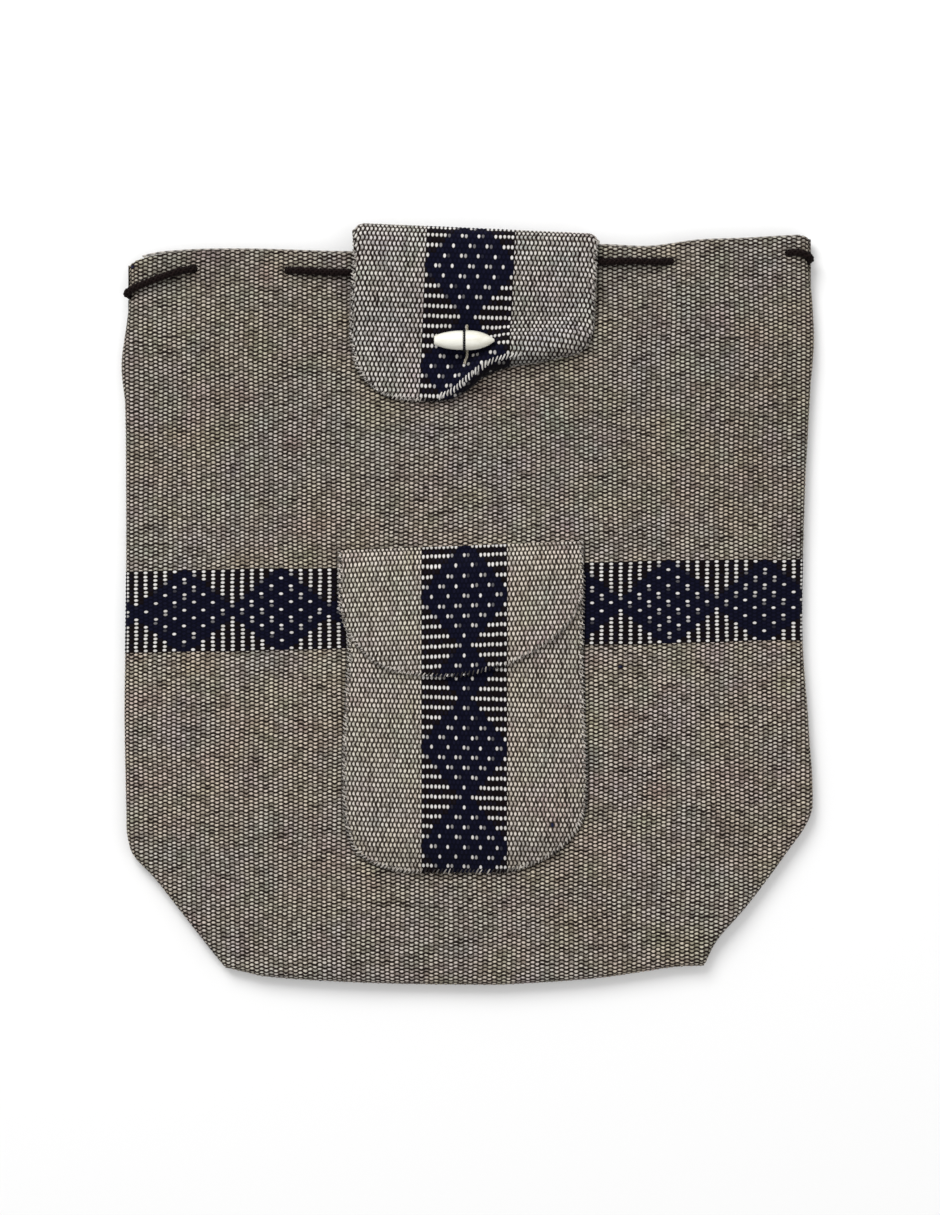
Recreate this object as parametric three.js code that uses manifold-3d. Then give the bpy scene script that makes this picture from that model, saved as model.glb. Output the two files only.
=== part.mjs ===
// Morral bag: a hand-woven wool shoulder bag, empty and lying flat on its back.
// Millimetres, +Z up. +X is the bag's right side as seen from the front, +Y points to its mouth.
import * as THREE from "three";
import Module from "manifold-3d";

const wasm = await Module();
wasm.setup();
const { clamp, degToRad, lerp, smoothstep } = THREE.MathUtils;

// Cloth and clearances
const CLOTH = 2.2;
const LAY_GAP = 0.5;
const COVER_GAP = 0.8;
const SEAT_GAP = 0.3;

// Bag body: one hollow tube of cloth, sewn along the bottom, open at the mouth
const BODY_WIDTH = 404;
const BODY_HEIGHT = 430;
const BODY_THICK = 14.5;
const EDGE_THICK = 9.8;
const EDGE_RUN = 35;
const BOTTOM_BOW = 11;
const MOUTH_WAVE = 11;

// Drawstring, threaded in and out of the front just under the mouth
const CORD = 4.5;
const CORD_GAP = 0.6;
const SLIT_GAP = 0.45;
const CORD_LINE = 30;
const LEFT_TURN_DROP = 4.5;
const RIGHT_TURN_DROP = 4;
const CORD_SIDES = 8;
const CORD_STEPS = 84;

// Main flap, folded from the back over the mouth
const FLAP_WIDTH = 140.4;
const FLAP_DROP = 101.5;
const FLAP_OFFSET = 4.8;
const FLAP_RISE = 10;
const FLAP_TILT = 2.6;
const FLAP_ROOT = 20;
const FOLD_LIFT = 5.8;
const FOLD_FLAT = 19;
const FOLD_RUN = 30;
const LIP_LIFT = 9;
const LIP_RUN = 16;

// Patch pocket and its own flap
const POCKET_WIDTH = 140.4;
const POCKET_HEIGHT = 172;
const POCKET_UP = 66.4;
const POCKET_OFFSET = -2.2;
const POCKET_DEPTH = 5.6;
const POCKET_RUN = 11;
const POCKET_FLAP_WIDTH = 141;
const POCKET_FLAP_DROP = 75;
const POCKET_FLAP_ABOVE = 17;
const POCKET_FLAP_OFFSET = -4.2;
const POCKET_FLAP_TILT = 2.2;

// Toggle button and the two threads that hold it
const TOGGLE_LENGTH = 34.8;
const TOGGLE_RADIUS = 5.6;
const TOGGLE_BELOW_MOUTH = 56.2;
const TOGGLE_OFFSET = -2.2;
const GROOVE_DEPTH = 0.9;
const GROOVE_WIDTH = 1.8;
const GROOVE_AT = 17.4;
const THREAD = 1.2;
const THREAD_DIP = 35;
const LOOP_YARN = 1.6;
const LOOP_ABOVE = 9.5;
const LOOP_BELOW = 7.2;

// The body's outline. up: share of a side's length. left, right: shares of half the width.
// full: share of the body's thickness.
const OUTLINE = [
  { up: 0.0, left: 0.7, right: 0.681, full: 0.72 },
  { up: 0.035, left: 0.757, right: 0.718, full: 0.76 },
  { up: 0.08, left: 0.828, right: 0.8, full: 0.82 },
  { up: 0.13, left: 0.908, right: 0.88, full: 0.88 },
  { up: 0.16, left: 0.965, right: 0.925, full: 0.91 },
  { up: 0.19, left: 0.984, right: 0.97, full: 0.94 },
  { up: 0.22, left: 0.986, right: 0.994, full: 0.96 },
  { up: 0.35, left: 0.992, right: 0.98, full: 1.0 },
  { up: 0.45, left: 0.99, right: 0.965, full: 1.0 },
  { up: 0.57, left: 0.987, right: 0.967, full: 1.0 },
  { up: 0.69, left: 0.987, right: 0.976, full: 0.98 },
  { up: 0.8, left: 0.99, right: 0.989, full: 0.95 },
  { up: 0.86, left: 1.0, right: 0.998, full: 0.93 },
  { up: 0.92, left: 0.984, right: 0.992, full: 0.9 },
  { up: 0.965, left: 0.974, right: 0.983, full: 0.88 },
  { up: 1.0, left: 0.976, right: 0.985, full: 0.87 },
];

// The bottom edge bows down in the middle. across: share of half the width. rise: share of BOTTOM_BOW.
const BOTTOM = [
  { across: -1.0, rise: 0.9 },
  { across: -0.91, rise: 0.64 },
  { across: -0.85, rise: 0.45 },
  { across: -0.61, rise: 0.21 },
  { across: -0.31, rise: 0.05 },
  { across: 0.0, rise: 0.0 },
  { across: 0.15, rise: 0.0 },
  { across: 0.53, rise: 0.32 },
  { across: 0.74, rise: 0.68 },
  { across: 0.87, rise: 0.93 },
  { across: 1.0, rise: 1.0 },
];

// The mouth's edge is drawn down at its left and stands up at its right. rise: share of MOUTH_WAVE.
const MOUTH = [
  { across: -1.0, rise: -1.0 },
  { across: -0.97, rise: -0.7 },
  { across: -0.87, rise: -0.3 },
  { across: -0.65, rise: -0.17 },
  { across: -0.34, rise: -0.32 },
  { across: 0.0, rise: -0.15 },
  { across: 0.38, rise: 0.05 },
  { across: 0.52, rise: -0.03 },
  { across: 0.66, rise: 0.29 },
  { across: 0.79, rise: 0.39 },
  { across: 0.98, rise: 0.58 },
  { across: 1.0, rise: 0.4 },
];

// Soft dents and swells of the front. across, up: shares. long, wide: shares of the body's width.
// turn: degrees from the X axis. rise: share of the cloth's thickness.
const FOLDS = [
  { name: "pinch by the left cord", across: -0.84, up: 0.935, long: 0.09, wide: 0.028, turn: 24, rise: -0.8 },
  { name: "swell under that pinch", across: -0.86, up: 0.87, long: 0.09, wide: 0.05, turn: 10, rise: 0.5 },
  { name: "pull beside the flap", across: 0.43, up: 0.94, long: 0.05, wide: 0.02, turn: 16, rise: -0.5 },
  { name: "hollow above the pocket", across: 0.25, up: 0.68, long: 0.2, wide: 0.07, turn: 4, rise: -0.4 },
  { name: "swell at the right side", across: 0.72, up: 0.6, long: 0.12, wide: 0.2, turn: 0, rise: 0.4 },
  { name: "swell at the left side", across: -0.7, up: 0.45, long: 0.14, wide: 0.2, turn: 0, rise: 0.35 },
  { name: "left corner crease", across: -0.8, up: 0.15, long: 0.12, wide: 0.03, turn: -50, rise: -0.5 },
  { name: "right corner crease", across: 0.78, up: 0.16, long: 0.12, wide: 0.03, turn: 48, rise: -0.5 },
];

// The drawstring's way along the front, left to right. across: share of half the width.
// below: share of CORD_LINE under the mouth. over: 1 on the cloth, 0 behind it.
const CORD_FRONT = [
  { across: -0.93, below: 0.5, over: 1 },
  { across: -0.84, below: 0.4, over: 1 },
  { across: -0.775, below: 0.35, over: 0 },
  { across: -0.66, below: 0.38, over: 0 },
  { across: -0.56, below: 0.4, over: 0 },
  { across: -0.5, below: 0.41, over: 1 },
  { across: -0.42, below: 0.42, over: 1 },
  { across: -0.335, below: 0.42, over: 1 },
  { across: -0.27, below: 0.43, over: 0 },
  { across: -0.2, below: 0.44, over: 0 },
  { across: 0.0, below: 0.44, over: 0 },
  { across: 0.2, below: 0.43, over: 0 },
  { across: 0.27, below: 0.42, over: 0 },
  { across: 0.335, below: 0.38, over: 1 },
  { across: 0.45, below: 0.32, over: 1 },
  { across: 0.555, below: 0.34, over: 1 },
  { across: 0.62, below: 0.35, over: 0 },
  { across: 0.74, below: 0.33, over: 0 },
  { across: 0.905, below: 0.35, over: 0 },
  { across: 0.962, below: 0.35, over: 1 },
];
// Its hidden way back inside the bag, right to left
const CORD_BACK = [
  { across: 0.88, below: 1.15 },
  { across: 0.6, below: 1.3 },
  { across: 0.2, below: 1.35 },
  { across: -0.2, below: 1.35 },
  { across: -0.6, below: 1.4 },
  { across: -0.88, below: 1.45 },
];
// How it turns round a side edge and in through the fold. out: share of the cord's half thickness
// and gap beyond the edge, plus bulge times the side's own share. drop: share of the side's drop.
// up: share of the way to the front's cord.
const CORD_TURN = [
  { out: -0.7, bulge: 0.0, drop: 0.0, up: 1.0 },
  { out: 0.0, bulge: 1.0, drop: 0.5, up: 0.5 },
  { out: -0.7, bulge: 0.0, drop: 0.85, up: 0.0 },
  { out: -3.4, bulge: 0.0, drop: 1.1, up: 0.0 },
];
const LEFT_TURN_BULGE = 0.6;
const RIGHT_TURN_BULGE = 0.2;
const LEFT_TURN_BELOW = 0.48;
const RIGHT_TURN_BELOW = 0.335;

// The flap's lower edge. across: share of half its width. drop, roll: shares of FLAP_DROP.
// lift: share of LIP_LIFT, how far the rolled lip stands up.
const FLAP_EDGE = [
  { across: -1.0, drop: 0.64, roll: 0.02, lift: 0.0 },
  { across: -0.96, drop: 0.78, roll: 0.02, lift: 0.0 },
  { across: -0.87, drop: 0.89, roll: 0.02, lift: 0.0 },
  { across: -0.7, drop: 0.975, roll: 0.02, lift: 0.0 },
  { across: -0.5, drop: 1.0, roll: 0.02, lift: 0.0 },
  { across: -0.27, drop: 0.993, roll: 0.022, lift: 0.05 },
  { across: -0.13, drop: 0.972, roll: 0.038, lift: 0.4 },
  { across: -0.01, drop: 0.912, roll: 0.055, lift: 0.8 },
  { across: 0.13, drop: 0.832, roll: 0.066, lift: 0.9 },
  { across: 0.33, drop: 0.776, roll: 0.11, lift: 1.0 },
  { across: 0.55, drop: 0.744, roll: 0.106, lift: 1.0 },
  { across: 0.75, drop: 0.706, roll: 0.09, lift: 0.9 },
  { across: 0.88, drop: 0.68, roll: 0.07, lift: 0.6 },
  { across: 0.96, drop: 0.62, roll: 0.04, lift: 0.25 },
  { across: 1.0, drop: 0.52, roll: 0.02, lift: 0.0 },
];

// The pocket's outline. up: share of its height. left, right: shares of half its width.
const POCKET_OUTLINE = [
  { up: 0.0, left: 0.45, right: 0.3 },
  { up: 0.012, left: 0.61, right: 0.44 },
  { up: 0.038, left: 0.777, right: 0.62 },
  { up: 0.083, left: 0.909, right: 0.793 },
  { up: 0.153, left: 0.967, right: 0.942 },
  { up: 0.23, left: 0.992, right: 1.0 },
  { up: 0.39, left: 0.996, right: 1.0 },
  { up: 0.59, left: 0.975, right: 0.983 },
  { up: 0.75, left: 0.955, right: 0.975 },
  { up: 1.0, left: 0.967, right: 0.983 },
];

// The pocket flap's round lower edge. across: share of half its width. drop: share of its drop.
const POCKET_FLAP_EDGE = [
  { across: -1.0, drop: 0.4 },
  { across: -0.97, drop: 0.54 },
  { across: -0.92, drop: 0.64 },
  { across: -0.82, drop: 0.77 },
  { across: -0.64, drop: 0.91 },
  { across: -0.31, drop: 0.985 },
  { across: -0.02, drop: 1.0 },
  { across: 0.2, drop: 0.965 },
  { across: 0.42, drop: 0.91 },
  { across: 0.73, drop: 0.755 },
  { across: 0.87, drop: 0.64 },
  { across: 0.95, drop: 0.53 },
  { across: 1.0, drop: 0.4 },
];

// The toggle's profile, from its flat end to its pointed end. along: share of its length.
// round: share of its radius.
const TOGGLE_LEFT = [
  { along: 0.0, round: 0.45 },
  { along: 0.08, round: 0.64 },
  { along: 0.2, round: 0.84 },
  { along: 0.35, round: 0.97 },
];
const TOGGLE_RIGHT = [
  { along: 0.63, round: 1.0 },
  { along: 0.75, round: 0.88 },
  { along: 0.87, round: 0.62 },
  { along: 0.95, round: 0.34 },
  { along: 1.0, round: 0.12 },
];

// How finely each surface is divided
const BODY_COLUMNS = 20;
const BODY_ROWS = 22;
const ROUND_ANGLES = [15, 45, 75];
const BOTTOM_ANGLES = [8, 35, 65];
const FLAP_COLUMNS = 20;
const POCKET_COLUMNS = 16;
const POCKET_ROWS = 14;
const POCKET_FLAP_ROWS = 9;
const TOGGLE_SIDES = 14;
const YARN_SIDES = 8;
const THREAD_STEPS = 10;
const LOOP_STEPS = 4;
const SLOPE_STEP = 0.5;
const NORMAL_STEP = 1e-3;

// Reads one column of a table at any place between its rows, along a smooth curve.
function read(table, place, at, column) {
  const last = table.length - 1;
  const t = clamp(at, table[0][place], table[last][place]);
  let i = 0;
  while (i < last - 1 && t > table[i + 1][place]) {
    i += 1;
  }
  const slope = (k) => {
    const before = table[Math.max(k - 1, 0)];
    const after = table[Math.min(k + 1, last)];
    return (after[column] - before[column]) / (after[place] - before[place]);
  };
  const span = table[i + 1][place] - table[i][place];
  const s = (t - table[i][place]) / span;
  const rise = s * s * (3 - 2 * s);
  const start = s * (1 - s) * (1 - s) * span * slope(i);
  const end = s * s * (s - 1) * span * slope(i + 1);
  return lerp(table[i][column], table[i + 1][column], rise) + start + end;
}

// Shares from one end to the other, evenly spaced
function shares(from, to, count) {
  return Array.from({ length: count + 1 }, (_, i) => lerp(from, to, i / count));
}

// The flap's length in shares: its root inside the back, its fold, the part on the front, its lip
const ROOT_SHARE = 0.12;
const FOLD_SHARE = 0.3;
const LIP_SHARE = 0.85;
const FLAP_ROWS = [
  ...shares(0, ROOT_SHARE, 1),
  ...shares(ROOT_SHARE, FOLD_SHARE, 7).slice(1),
  ...shares(FOLD_SHARE, LIP_SHARE, 10).slice(1),
  ...shares(LIP_SHARE, 1, 3).slice(1),
];

// Turns rows of points into one mesh. Each row has the same number of points.
function gridTriangles(rows, index, closedRow) {
  const triangles = [];
  const count = rows[0].length;
  const strips = closedRow ? count : count - 1;
  for (let j = 0; j < rows.length - 1; j += 1) {
    for (let i = 0; i < strips; i += 1) {
      const next = (i + 1) % count;
      const a = index(j, i);
      const b = index(j, next);
      const c = index(j + 1, next);
      const d = index(j + 1, i);
      triangles.push([a, b, c], [a, c, d]);
    }
  }
  return triangles;
}

// Makes a closed solid of points and triangles, with every face turned outward.
function closedSolid(points, triangles) {
  let volume = 0;
  const cross = new THREE.Vector3();
  for (const [a, b, c] of triangles) {
    volume += points[a].dot(cross.crossVectors(points[b], points[c]));
  }
  const turned = volume < 0 ? triangles.map(([a, b, c]) => [a, c, b]) : triangles;
  const solid = new THREE.BufferGeometry();
  solid.setFromPoints(points);
  solid.setIndex(turned.flat());
  return solid;
}

// A piece of cloth of even thickness about the surface place(i, j), over columns and rows of shares.
function clothSheet(place, columns, rows, thickness) {
  const top = [];
  const under = [];
  for (const v of rows) {
    for (const u of columns) {
      const across = place(u + NORMAL_STEP, v).sub(place(u - NORMAL_STEP, v));
      const along = place(u, v + NORMAL_STEP).sub(place(u, v - NORMAL_STEP));
      const normal = across.cross(along).normalize().multiplyScalar(thickness / 2);
      const middle = place(u, v);
      top.push(middle.clone().add(normal));
      under.push(middle.clone().sub(normal));
    }
  }
  const wide = columns.length;
  const points = [...top, ...under];
  const grid = rows.map(() => columns);
  const triangles = gridTriangles(grid, (j, i) => j * wide + i, false);
  for (const [a, b, c] of gridTriangles(grid, (j, i) => top.length + j * wide + i, false)) {
    triangles.push([a, c, b]);
  }
  const rim = [];
  for (let i = 0; i < wide - 1; i += 1) rim.push(i);
  for (let j = 0; j < rows.length - 1; j += 1) rim.push(j * wide + wide - 1);
  for (let i = wide - 1; i > 0; i -= 1) rim.push((rows.length - 1) * wide + i);
  for (let j = rows.length - 1; j > 0; j -= 1) rim.push(j * wide);
  rim.forEach((a, k) => {
    const b = rim[(k + 1) % rim.length];
    triangles.push([b, a, top.length + a], [b, top.length + a, top.length + b]);
  });
  return closedSolid(points, triangles);
}

// The height of a surface that lies a true distance above another, also on its slopes.
function restOn(surface, distance) {
  return (x, y) => {
    const slopeX = (surface(x + SLOPE_STEP, y) - surface(x - SLOPE_STEP, y)) / (2 * SLOPE_STEP);
    const slopeY = (surface(x, y + SLOPE_STEP) - surface(x, y - SLOPE_STEP)) / (2 * SLOPE_STEP);
    return surface(x, y) + distance * Math.hypot(1, slopeX, slopeY);
  };
}

// The bag's outline at a share of its height
function halfWidth(across, up) {
  const side = across < 0 ? "left" : "right";
  return (BODY_WIDTH / 2) * read(OUTLINE, "up", up, side);
}

function bottomLine(across) {
  return BOTTOM_BOW * read(BOTTOM, "across", across, "rise");
}

function mouthLine(across) {
  return BODY_HEIGHT + MOUTH_WAVE * read(MOUTH, "across", across, "rise");
}

// Where a point of the bag lies, from its shares across and up
function onBag(across, up) {
  return {
    x: across * halfWidth(across, up),
    y: lerp(bottomLine(across), mouthLine(across), up),
  };
}

// The shares across and up of a place on the bag
function bagShares(x, y) {
  let across = x / (BODY_WIDTH / 2);
  let up = y / BODY_HEIGHT;
  for (let turn = 0; turn < 6; turn += 1) {
    up = clamp((y - bottomLine(across)) / (mouthLine(across) - bottomLine(across)), 0, 1);
    across = clamp(x / halfWidth(x, up), -1, 1);
  }
  return { across, up };
}

function foldRelief(across, up) {
  let rise = 0;
  for (const fold of FOLDS) {
    const dx = ((across - fold.across) * BODY_WIDTH) / 2;
    const dy = (up - fold.up) * BODY_HEIGHT;
    const turn = degToRad(fold.turn);
    const along = (dx * Math.cos(turn) + dy * Math.sin(turn)) / (fold.long * BODY_WIDTH);
    const beside = (dy * Math.cos(turn) - dx * Math.sin(turn)) / (fold.wide * BODY_WIDTH);
    rise += fold.rise * CLOTH * Math.exp(-along * along - beside * beside);
  }
  return rise;
}

// The outer height of the front above the surface that the bag lies on
function frontHeight(across, up) {
  const inward = (1 - Math.abs(across)) * halfWidth(across, up);
  const swell = 1 - Math.exp(-((inward / EDGE_RUN) ** 2));
  const full = BODY_THICK * read(OUTLINE, "up", up, "full");
  return EDGE_THICK + (full - EDGE_THICK + foldRelief(across, up)) * swell;
}

function frontTop(x, y) {
  const { across, up } = bagShares(x, y);
  return frontHeight(across, up);
}

// One ring round the bag. inset moves it into the wall, and end rounds it off towards the bottom edge.
function bagRing(up, inset, end) {
  const radius = EDGE_THICK / 2;
  const left = onBag(-1, up).x;
  const right = onBag(1, up).x;
  const upper = [];
  const lower = [];
  const add = (x, topZ, bottomZ) => {
    const across = x / halfWidth(x, up);
    const y = lerp(bottomLine(across), mouthLine(across), up);
    const middle = (topZ + bottomZ) / 2;
    upper.push(new THREE.Vector3(x, y, lerp(middle, topZ, end)));
    lower.unshift(new THREE.Vector3(x, y, lerp(middle, bottomZ, end)));
  };
  const rounded = (angle, edge, side) => {
    const turn = degToRad(angle);
    const reach = (radius - inset) * Math.cos(turn);
    const height = (radius - inset) * Math.sin(turn);
    add(edge - side * (radius - reach), radius + height, radius - height);
  };
  for (const angle of ROUND_ANGLES) rounded(angle, left, -1);
  for (const share of shares(0, 1, BODY_COLUMNS - 1)) {
    const x = lerp(left + radius, right - radius, share);
    add(x, frontHeight(x / halfWidth(x, up), up) - inset, inset);
  }
  for (const angle of [...ROUND_ANGLES].reverse()) rounded(angle, right, 1);
  return [...upper, ...lower];
}

// Rings from the rounded bottom edge up to the mouth, for the outer or the inner face of the cloth
function bagRings(inset) {
  const radius = EDGE_THICK / 2;
  const rings = [];
  for (const angle of BOTTOM_ANGLES) {
    const turn = degToRad(angle);
    const depth = radius - (radius - inset) * Math.cos(turn);
    rings.push(bagRing(depth / BODY_HEIGHT, inset, Math.sin(turn)));
  }
  for (const up of shares(radius / BODY_HEIGHT, 1, BODY_ROWS)) rings.push(bagRing(up, inset, 1));
  return rings;
}

function bagShell() {
  const rings = [...bagRings(0), ...bagRings(CLOTH).reverse()];
  const count = rings[0].length;
  const points = rings.flat();
  const triangles = gridTriangles(rings, (j, i) => j * count + i, true);
  const cap = (start, turned) => {
    for (let a = 0; a < count / 2 - 1; a += 1) {
      const near = start + a;
      const far = start + count - 1 - a;
      const quad = [[near, far, far - 1], [near, far - 1, near + 1]];
      for (const [p, q, r] of quad) triangles.push(turned ? [p, r, q] : [p, q, r]);
    }
  };
  cap(0, false);
  cap((rings.length - 1) * count, true);
  return closedSolid(points, triangles);
}

// The drawstring's route: a whole loop through the front, round both sides and back inside the bag
function cordRoute() {
  const over = restOn(frontTop, CORD_GAP + CORD / 2);
  const behind = restOn(frontTop, -(CLOTH + LAY_GAP + CORD / 2));
  const place = (across, below) => {
    const x = across * halfWidth(across, 1);
    return { x, y: mouthLine(across) - below * CORD_LINE };
  };
  const inside = EDGE_THICK / 2;
  const reach = CORD_GAP + CORD / 2;
  const points = CORD_FRONT.map((stop) => {
    const { x, y } = place(stop.across, stop.below);
    return new THREE.Vector3(x, y, stop.over ? over(x, y) : behind(x, y));
  });
  const turnRound = (side, below, drop, bulge) => {
    const { y } = place(side, below);
    const edge = halfWidth(side, bagShares(side * BODY_WIDTH, y).up);
    return CORD_TURN.map((stop) => new THREE.Vector3(
      side * (edge + (stop.out + stop.bulge * bulge) * reach),
      y - stop.drop * drop,
      lerp(inside, EDGE_THICK + reach, stop.up),
    ));
  };
  const rightTurn = turnRound(1, RIGHT_TURN_BELOW, RIGHT_TURN_DROP, RIGHT_TURN_BULGE);
  const leftTurn = turnRound(-1, LEFT_TURN_BELOW, LEFT_TURN_DROP, LEFT_TURN_BULGE).reverse();
  const back = CORD_BACK.map((stop) => {
    const { x, y } = place(stop.across, stop.below);
    return new THREE.Vector3(x, y, inside);
  });
  return new THREE.CatmullRomCurve3([...points, ...rightTurn, ...back, ...leftTurn], true);
}

// A tube that closes on itself along the drawstring's route
function cordTube(route, radius) {
  const { normals, binormals } = route.computeFrenetFrames(CORD_STEPS, true);
  const rings = shares(0, 1, CORD_STEPS).slice(0, -1).map((along, j) => {
    const centre = route.getPointAt(along);
    return shares(0, 2 * Math.PI, CORD_SIDES).slice(0, -1).map((angle) => {
      const point = centre.clone().addScaledVector(normals[j], radius * Math.cos(angle));
      return point.addScaledVector(binormals[j], radius * Math.sin(angle));
    });
  });
  const index = (j, i) => (j % CORD_STEPS) * CORD_SIDES + i;
  return closedSolid(rings.flat(), gridTriangles([...rings, rings[0]], index, true));
}

function toManifold(geometry) {
  const numbers = new Float32Array(geometry.getAttribute("position").array);
  const indices = new Uint32Array(geometry.getIndex().array);
  return new wasm.Manifold(new wasm.Mesh({ numProp: 3, vertProperties: numbers, triVerts: indices }));
}

function fromManifold(solid) {
  const mesh = solid.getMesh();
  const geometry = new THREE.BufferGeometry();
  geometry.setAttribute("position", new THREE.BufferAttribute(mesh.vertProperties, 3));
  geometry.setIndex(new THREE.BufferAttribute(mesh.triVerts, 1));
  return geometry;
}

// Main flap: sewn inside the back, folded round over the mouth, its lower right edge rolled up.
// One line down the flap, at a share u across it
function flapLine(u) {
  const side = (u * FLAP_WIDTH) / 2;
  const lean = Math.sin(degToRad(FLAP_TILT));
  const foldTop = BODY_HEIGHT + FLAP_RISE - side * lean;
  const roll = read(FLAP_EDGE, "across", u, "roll") * FLAP_DROP;
  return {
    foldTop,
    roll,
    mouth: mouthLine((FLAP_OFFSET + side) / (BODY_WIDTH / 2)),
    lip: foldTop - read(FLAP_EDGE, "across", u, "drop") * FLAP_DROP + roll,
    lift: read(FLAP_EDGE, "across", u, "lift") * LIP_LIFT,
    x: (y) => FLAP_OFFSET + side - (foldTop - y) * lean,
  };
}

// The middle of a cloth that lies on the front
const onFrontCloth = restOn(frontTop, LAY_GAP + CLOTH / 2);

// Where the flap lies over the front, without the lip's lift
function flapOnFront(line, y) {
  const room = 1 - smoothstep(line.mouth - y, FOLD_FLAT, FOLD_FLAT + FOLD_RUN);
  return onFrontCloth(line.x(y), y) + FOLD_LIFT * room;
}

function lipRise(line, y) {
  return line.lift * (1 - smoothstep(y - line.lip, 0, LIP_RUN));
}

function flapPlace(u, v) {
  const line = flapLine(u);
  const rootZ = CLOTH + SEAT_GAP + CLOTH / 2;
  if (v < ROOT_SHARE) {
    const y = line.mouth - FLAP_ROOT * (1 - v / ROOT_SHARE);
    return new THREE.Vector3(line.x(y), y, rootZ);
  }
  if (v < FOLD_SHARE) {
    const angle = ((v - ROOT_SHARE) / (FOLD_SHARE - ROOT_SHARE)) * Math.PI;
    const reach = line.foldTop - line.mouth - CLOTH / 2;
    const y = line.mouth + reach * Math.sin(angle);
    const rise = flapOnFront(line, line.mouth) - rootZ;
    return new THREE.Vector3(line.x(y), y, rootZ + (rise / 2) * (1 - Math.cos(angle)));
  }
  if (v < LIP_SHARE) {
    const y = lerp(line.mouth, line.lip, (v - FOLD_SHARE) / (LIP_SHARE - FOLD_SHARE));
    return new THREE.Vector3(line.x(y), y, flapOnFront(line, y) + lipRise(line, y));
  }
  const angle = ((v - LIP_SHARE) / (1 - LIP_SHARE)) * (Math.PI / 2);
  const y = line.lip - line.roll * Math.sin(angle);
  return new THREE.Vector3(line.x(y), y, flapOnFront(line, y) + line.lift * Math.cos(angle));
}

// Patch pocket: flat at its sewn edge, swelling to POCKET_DEPTH of room, open at the top
function pocketPlace(u, v) {
  const half = POCKET_WIDTH / 2;
  const side = u < 0 ? "left" : "right";
  const up = clamp(v, 0, 1);
  const wide = half * read(POCKET_OUTLINE, "up", up, side);
  const x = POCKET_OFFSET + u * wide;
  const y = POCKET_UP + v * POCKET_HEIGHT;
  return new THREE.Vector3(x, y, pocketMiddle(x, y));
}

function pocketLift(x, y) {
  const up = clamp((y - POCKET_UP) / POCKET_HEIGHT, 0, 1);
  const side = x < POCKET_OFFSET ? "left" : "right";
  const wide = (POCKET_WIDTH / 2) * read(POCKET_OUTLINE, "up", up, side);
  const fromSide = Math.max(wide - Math.abs(x - POCKET_OFFSET), 0);
  const fromBottom = Math.max(up * POCKET_HEIGHT, 0);
  const rise = (distance) => 1 - Math.exp(-((distance / POCKET_RUN) ** 2));
  return POCKET_DEPTH * rise(fromSide) * rise(fromBottom);
}

const pocketMiddle = (x, y) => onFrontCloth(x, y) + pocketLift(x, y);

// Pocket flap: sewn to the front above the pocket's mouth and lying over it
function pocketFlapMiddle(x, y) {
  const mouth = POCKET_UP + POCKET_HEIGHT;
  const held = Math.min(y, mouth);
  const over = restOn(pocketMiddle, CLOTH + COVER_GAP)(x, held) - onFrontCloth(x, held);
  const fall = 1 - smoothstep(y - mouth, LAY_GAP + CLOTH, POCKET_FLAP_ABOVE - CLOTH);
  return onFrontCloth(x, y) + over * fall;
}

function pocketFlapPlace(u, v) {
  const side = (u * POCKET_FLAP_WIDTH) / 2;
  const root = POCKET_UP + POCKET_HEIGHT + POCKET_FLAP_ABOVE + side * Math.tan(degToRad(POCKET_FLAP_TILT));
  const drop = POCKET_FLAP_DROP * read(POCKET_FLAP_EDGE, "across", u, "drop");
  const x = POCKET_FLAP_OFFSET + side;
  const y = root - drop * v;
  return new THREE.Vector3(x, y, pocketFlapMiddle(x, y));
}

// Toggle: a bead turned to one flat and one pointed end, with a groove for its thread
function toggleProfile() {
  const points = [new THREE.Vector2(0, 0)];
  const ring = (row) => new THREE.Vector2(row.round * TOGGLE_RADIUS, row.along * TOGGLE_LENGTH);
  points.push(...TOGGLE_LEFT.map(ring));
  const bed = TOGGLE_RADIUS - GROOVE_DEPTH;
  points.push(new THREE.Vector2(TOGGLE_RADIUS, GROOVE_AT - GROOVE_WIDTH / 2));
  points.push(new THREE.Vector2(bed, GROOVE_AT - GROOVE_WIDTH / 3));
  points.push(new THREE.Vector2(bed, GROOVE_AT + GROOVE_WIDTH / 3));
  points.push(new THREE.Vector2(TOGGLE_RADIUS, GROOVE_AT + GROOVE_WIDTH / 2));
  points.push(...TOGGLE_RIGHT.map(ring), new THREE.Vector2(0, TOGGLE_LENGTH));
  return points;
}

// The height at a true distance over the flap's outer face, at a place on it
function overFlap(x, y, distance) {
  const line = flapLine((x - FLAP_OFFSET) / (FLAP_WIDTH / 2));
  const shift = x - line.x(y);
  const near = flapLine((x + shift - FLAP_OFFSET) / (FLAP_WIDTH / 2));
  const rise = (at) => flapOnFront(near, at) + lipRise(near, at);
  const slope = (rise(y + SLOPE_STEP) - rise(y - SLOPE_STEP)) / (2 * SLOPE_STEP);
  return rise(y) + (CLOTH / 2 + distance) * Math.hypot(1, slope);
}

const toggleY = BODY_HEIGHT - TOGGLE_BELOW_MOUTH;
const toggleSeat = overFlap(TOGGLE_OFFSET, toggleY, LAY_GAP + SEAT_GAP + LOOP_YARN);
const toggleZ = toggleSeat + TOGGLE_RADIUS;
const grooveX = TOGGLE_OFFSET - TOGGLE_LENGTH / 2 + GROOVE_AT;

function yarnAlong(points, thickness, steps) {
  const section = new THREE.Shape();
  section.absarc(0, 0, thickness / 2, 0, 2 * Math.PI);
  const path = new THREE.CatmullRomCurve3(points);
  return new THREE.ExtrudeGeometry(section, { steps, extrudePath: path, curveSegments: YARN_SIDES / 2 });
}

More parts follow.
